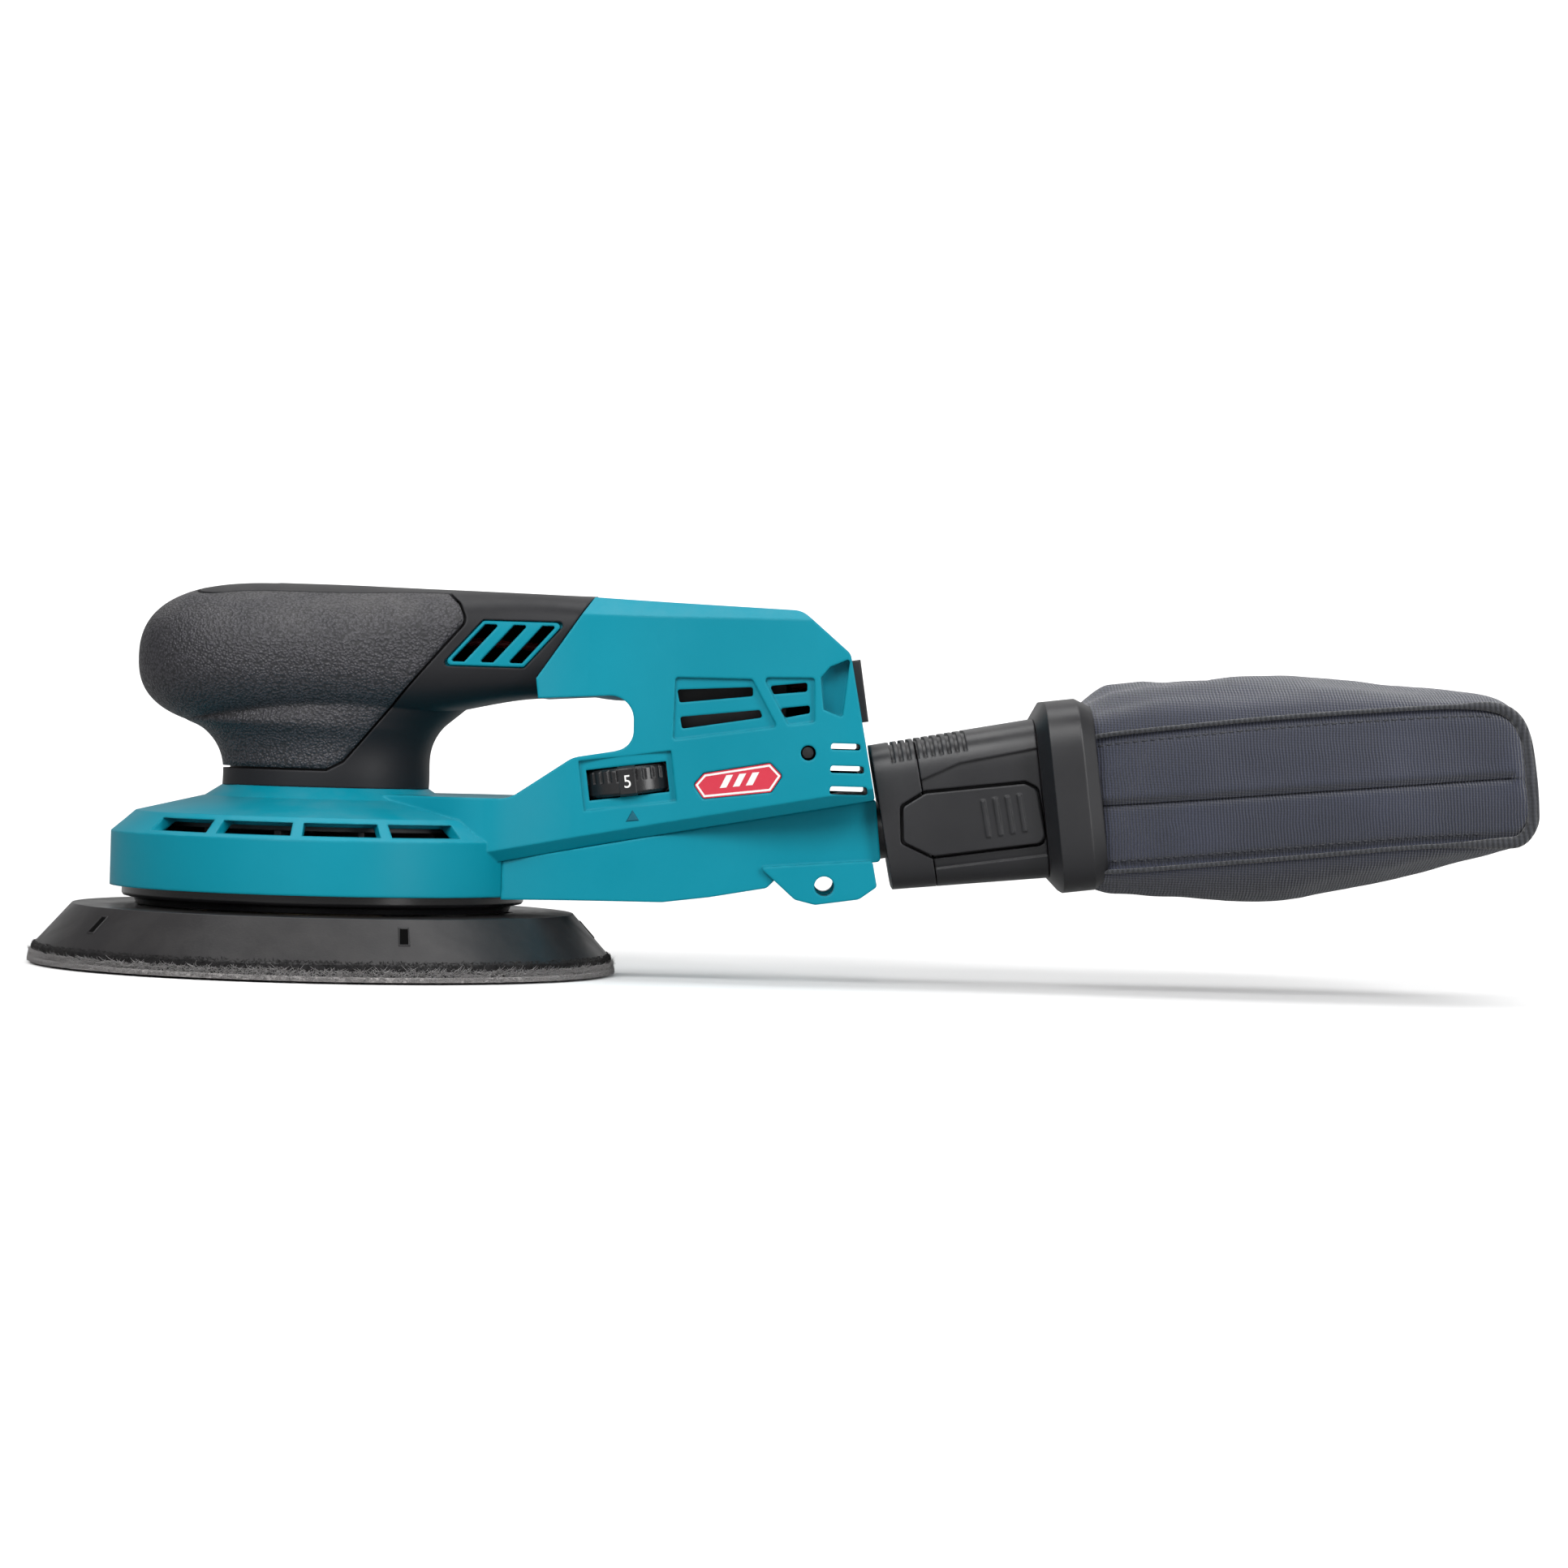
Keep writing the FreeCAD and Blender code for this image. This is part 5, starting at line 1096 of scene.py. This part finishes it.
def make_nap(name, count, low, high, reach, thickness, material, seed):
    """Short fibres standing out from the pad's edge between two heights."""
    source = random.Random(seed)
    verts = []
    faces = []
    for _ in range(count):
        angle = source.uniform(0, 2 * math.pi)
        height = source.uniform(low, high)
        length = source.uniform(0.4, 1.0) * reach
        swing = source.uniform(-1.1, 1.1)
        climb = source.uniform(-0.8, 0.8)
        base = len(verts)
        radius = pad_edge(height)
        for k in range(4):
            t = k / 3
            out = radius - 0.2 + length * math.sin(t * 1.9) / math.sin(1.9) * 0.9 * t ** 0.5
            turn = angle + swing * length * t * t / radius
            up = max(0.04, height + climb * length * t * t)
            centre = PAD_AXIS + Vector((out * math.cos(turn), out * math.sin(turn), up))
            size = thickness * (1 - 0.6 * t)
            for a in range(3):
                spin = 2 * math.pi * a / 3
                side = Vector((-math.sin(turn), math.cos(turn), 0)) * (size * math.cos(spin))
                verts.append(centre + side + Vector((0, 0, size * math.sin(spin))))
        for k in range(3):
            for a in range(3):
                b = (a + 1) % 3
                faces.append((base + 3 * k + a, base + 3 * k + b, base + 3 * k + 3 + b, base + 3 * k + 3 + a))
    return new_object(name, verts, faces, material)


NAP_DARK = moulded("Hook fibres", (0.015, 0.015, 0.016), (0.05, 0.05, 0.05), rough=(0.55, 0.7), wear=0.0,
                   dust=0.25)
NAP_PALE = moulded("Backing fibres", (0.62, 0.60, 0.60), (0.7, 0.7, 0.7), rough=(0.7, 0.85), wear=0.0,
                   dust=0.2)
NAPS = [
    ("hook_nap", 9000, 2.9, 5.0, 0.8, 0.12, NAP_DARK, "hook_fabric"),
    ("loop_nap", 7500, 1.2, 2.8, 2.2, 0.10, NAP_PALE, "abrasive"),
    ("backing_nap", 7500, 0.1, 1.2, 1.0, 0.10, NAP_PALE, "abrasive"),
]
for seed, (name, count, low, high, reach, thickness, material, slot) in enumerate(NAPS, start=3):
    piece = make_nap(name, count, low, high, reach, thickness, material, seed)
    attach(piece, "pad")
print("fibres:", sum(nap[1] for nap in NAPS))

# %% [markdown]
# ## Slots in the pad's bevel
#
# Five short slots in the bevel show how the pad is set on its screw.  Each is a dark inlay with a fine lip,
# because all that a cut this small shows is its shadow.

# %% Bevel slots
def on_bevel(angle, share, out=0.0):
    """A point on the pad's bevel; share runs from its lower edge to its upper one."""
    radius = BEVEL_FOOT[0] + (BEVEL_TOP[0] - BEVEL_FOOT[0]) * share + out
    height = BEVEL_FOOT[1] + (BEVEL_TOP[1] - BEVEL_FOOT[1]) * share + out
    turn = math.radians(angle - 90)
    return PAD_AXIS + Vector((radius * math.cos(turn), radius * math.sin(turn), height))


HOLLOW = moulded("Slot shadow", (0.0015, 0.0015, 0.0015), (0.003, 0.003, 0.003), rough=(0.8, 0.9), wear=0.0,
                 dust=0.0, shine=0.05)


SLOTS = 5
FIRST_SLOT = 22.5
SLOT_SHARE = 0.62
SLOT_LEAN = 0.45


def bevel_slot(index):
    """One slanted slot: a fine rubber lip round a dark inlay."""
    middle = FIRST_SLOT + 360 / SLOTS * index
    rows = []
    for out, grow in ((-0.1, 0.45), (0.16, 0.28), (0.16, 0.16), (0.05, 0.0)):
        half, reach = 1.1 + grow, 0.17 + grow * 0.085
        corners = [(-half - SLOT_LEAN, SLOT_SHARE - reach), (half - SLOT_LEAN, SLOT_SHARE - reach),
                   (half + SLOT_LEAN, SLOT_SHARE + reach), (-half + SLOT_LEAN, SLOT_SHARE + reach)]
        rows.append([on_bevel(middle + math.degrees(x / 69.0), share, out) for x, share in corners])
    verts = [point for row in rows for point in row]
    faces = grid_faces(4, 4, closed_columns=True) + [(12, 13, 14, 15)]
    slot = outward(new_object(f"bevel_slot_{index + 1}", verts, faces, RUBBER, False))
    slot.data.materials.append(HOLLOW)
    slot.data.polygons[-1].material_index = 1
    return slot


for index in range(SLOTS):
    piece = bevel_slot(index)
    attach(piece, "pad")
print("bevel slots:", SLOTS)

# %% [markdown]
# ## Floor, light and camera
#
# A small product studio: pale paper that curves up behind, a soft light at the front left, one overhead,
# a strip at the right and a wide one that lifts the paper.  The camera sees the paper nearly white, but it
# bounces less light than that, so the tool's underside stays dark.

# %% Studio
FLOOR_LEVEL = -0.6
SWEEP_START = 1500
SWEEP_RADIUS = 900
SWEEP_STEPS = 12


def make_floor():
    """Paper that lies flat, then sweeps up behind the tool."""
    material, tree, shader = new_material("Studio paper")
    path = tree.nodes.new("ShaderNodeLightPath")
    pale = mix_colour(tree, path.outputs["Is Camera Ray"], (0.30, 0.30, 0.30, 1), (0.88, 0.88, 0.88, 1))
    tree.links.new(pale, shader.inputs["Base Color"])
    shader.inputs["Roughness"].default_value = 0.85
    verts = []
    profile = [(-3000, FLOOR_LEVEL), (SWEEP_START, FLOOR_LEVEL)]
    for k in range(1, SWEEP_STEPS + 1):
        angle = math.pi / 2 * k / SWEEP_STEPS
        profile.append((SWEEP_START + SWEEP_RADIUS * math.sin(angle),
                        FLOOR_LEVEL + SWEEP_RADIUS * (1 - math.cos(angle))))
    profile.append((SWEEP_START + SWEEP_RADIUS, 3500))
    for y, z in profile:
        verts += [(-4000, y, z), (4500, y, z)]
    return new_object("floor", verts, grid_faces(len(profile), 2, flip=True), material)


def area_light(name, place, target, width, power):
    """A soft rectangular light at a place, turned towards a target, both in metres."""
    data = bpy.data.lights.new(name, "AREA")
    data.shape = "RECTANGLE"
    data.size = width[0]
    data.size_y = width[1]
    data.energy = power
    lamp = bpy.data.objects.new(name, data)
    bpy.context.scene.collection.objects.link(lamp)
    lamp.location = place
    lamp.rotation_euler = (Vector(target) - Vector(place)).to_track_quat("-Z", "Y").to_euler()
    return lamp


floor = make_floor()
LIGHTS = [
    ("key", (-0.30, -1.15, 0.80), (0.08, 0, 0.05), (0.9, 0.7), 17),
    ("top", (0.15, 0.15, 1.5), (0.12, 0, 0.05), (1.8, 0.9), 15),
    ("strip", (0.95, -0.85, 0.55), (0.10, 0, 0.03), (0.35, 1.1), 10),
    ("backdrop", (0.1, 1.2, 1.9), (0.1, 2.6, 0.8), (3.0, 1.0), 60),
]
for light in LIGHTS:
    area_light(*light)
bpy.context.scene.view_settings.view_transform = "Standard"
world = bpy.data.worlds.new("Studio")
bpy.context.scene.world = world
world.use_nodes = True
world.node_tree.nodes["Background"].inputs["Color"].default_value = (1, 1, 1, 1)
world.node_tree.nodes["Background"].inputs["Strength"].default_value = 0.30
print("lights:", len(LIGHTS))

# %% [markdown]
# ### The camera
#
# The tool is seen square from its left side, from a little over a metre away through a long lens, so that
# its far parts hardly shrink.  A slight roll leans the whole view, as a camera held by hand does.

# %% Camera
lens = bpy.data.cameras.new("camera")
lens.sensor_width = 36
lens.lens = 105.8
camera = bpy.data.objects.new("camera", lens)
bpy.context.scene.collection.objects.link(camera)
pitch, roll = math.radians(-0.7), math.radians(1.6)
camera.location = mm(118.2, -1190, 64.8)
look = Matrix.Rotation(pitch, 4, "X") @ Matrix.Rotation(math.pi / 2, 4, "X") @ Matrix.Rotation(roll, 4, "Z")
camera.rotation_euler = look.to_euler()
bpy.context.scene.camera = camera
print("camera distance, mm:", round(-camera.location.y / MM))
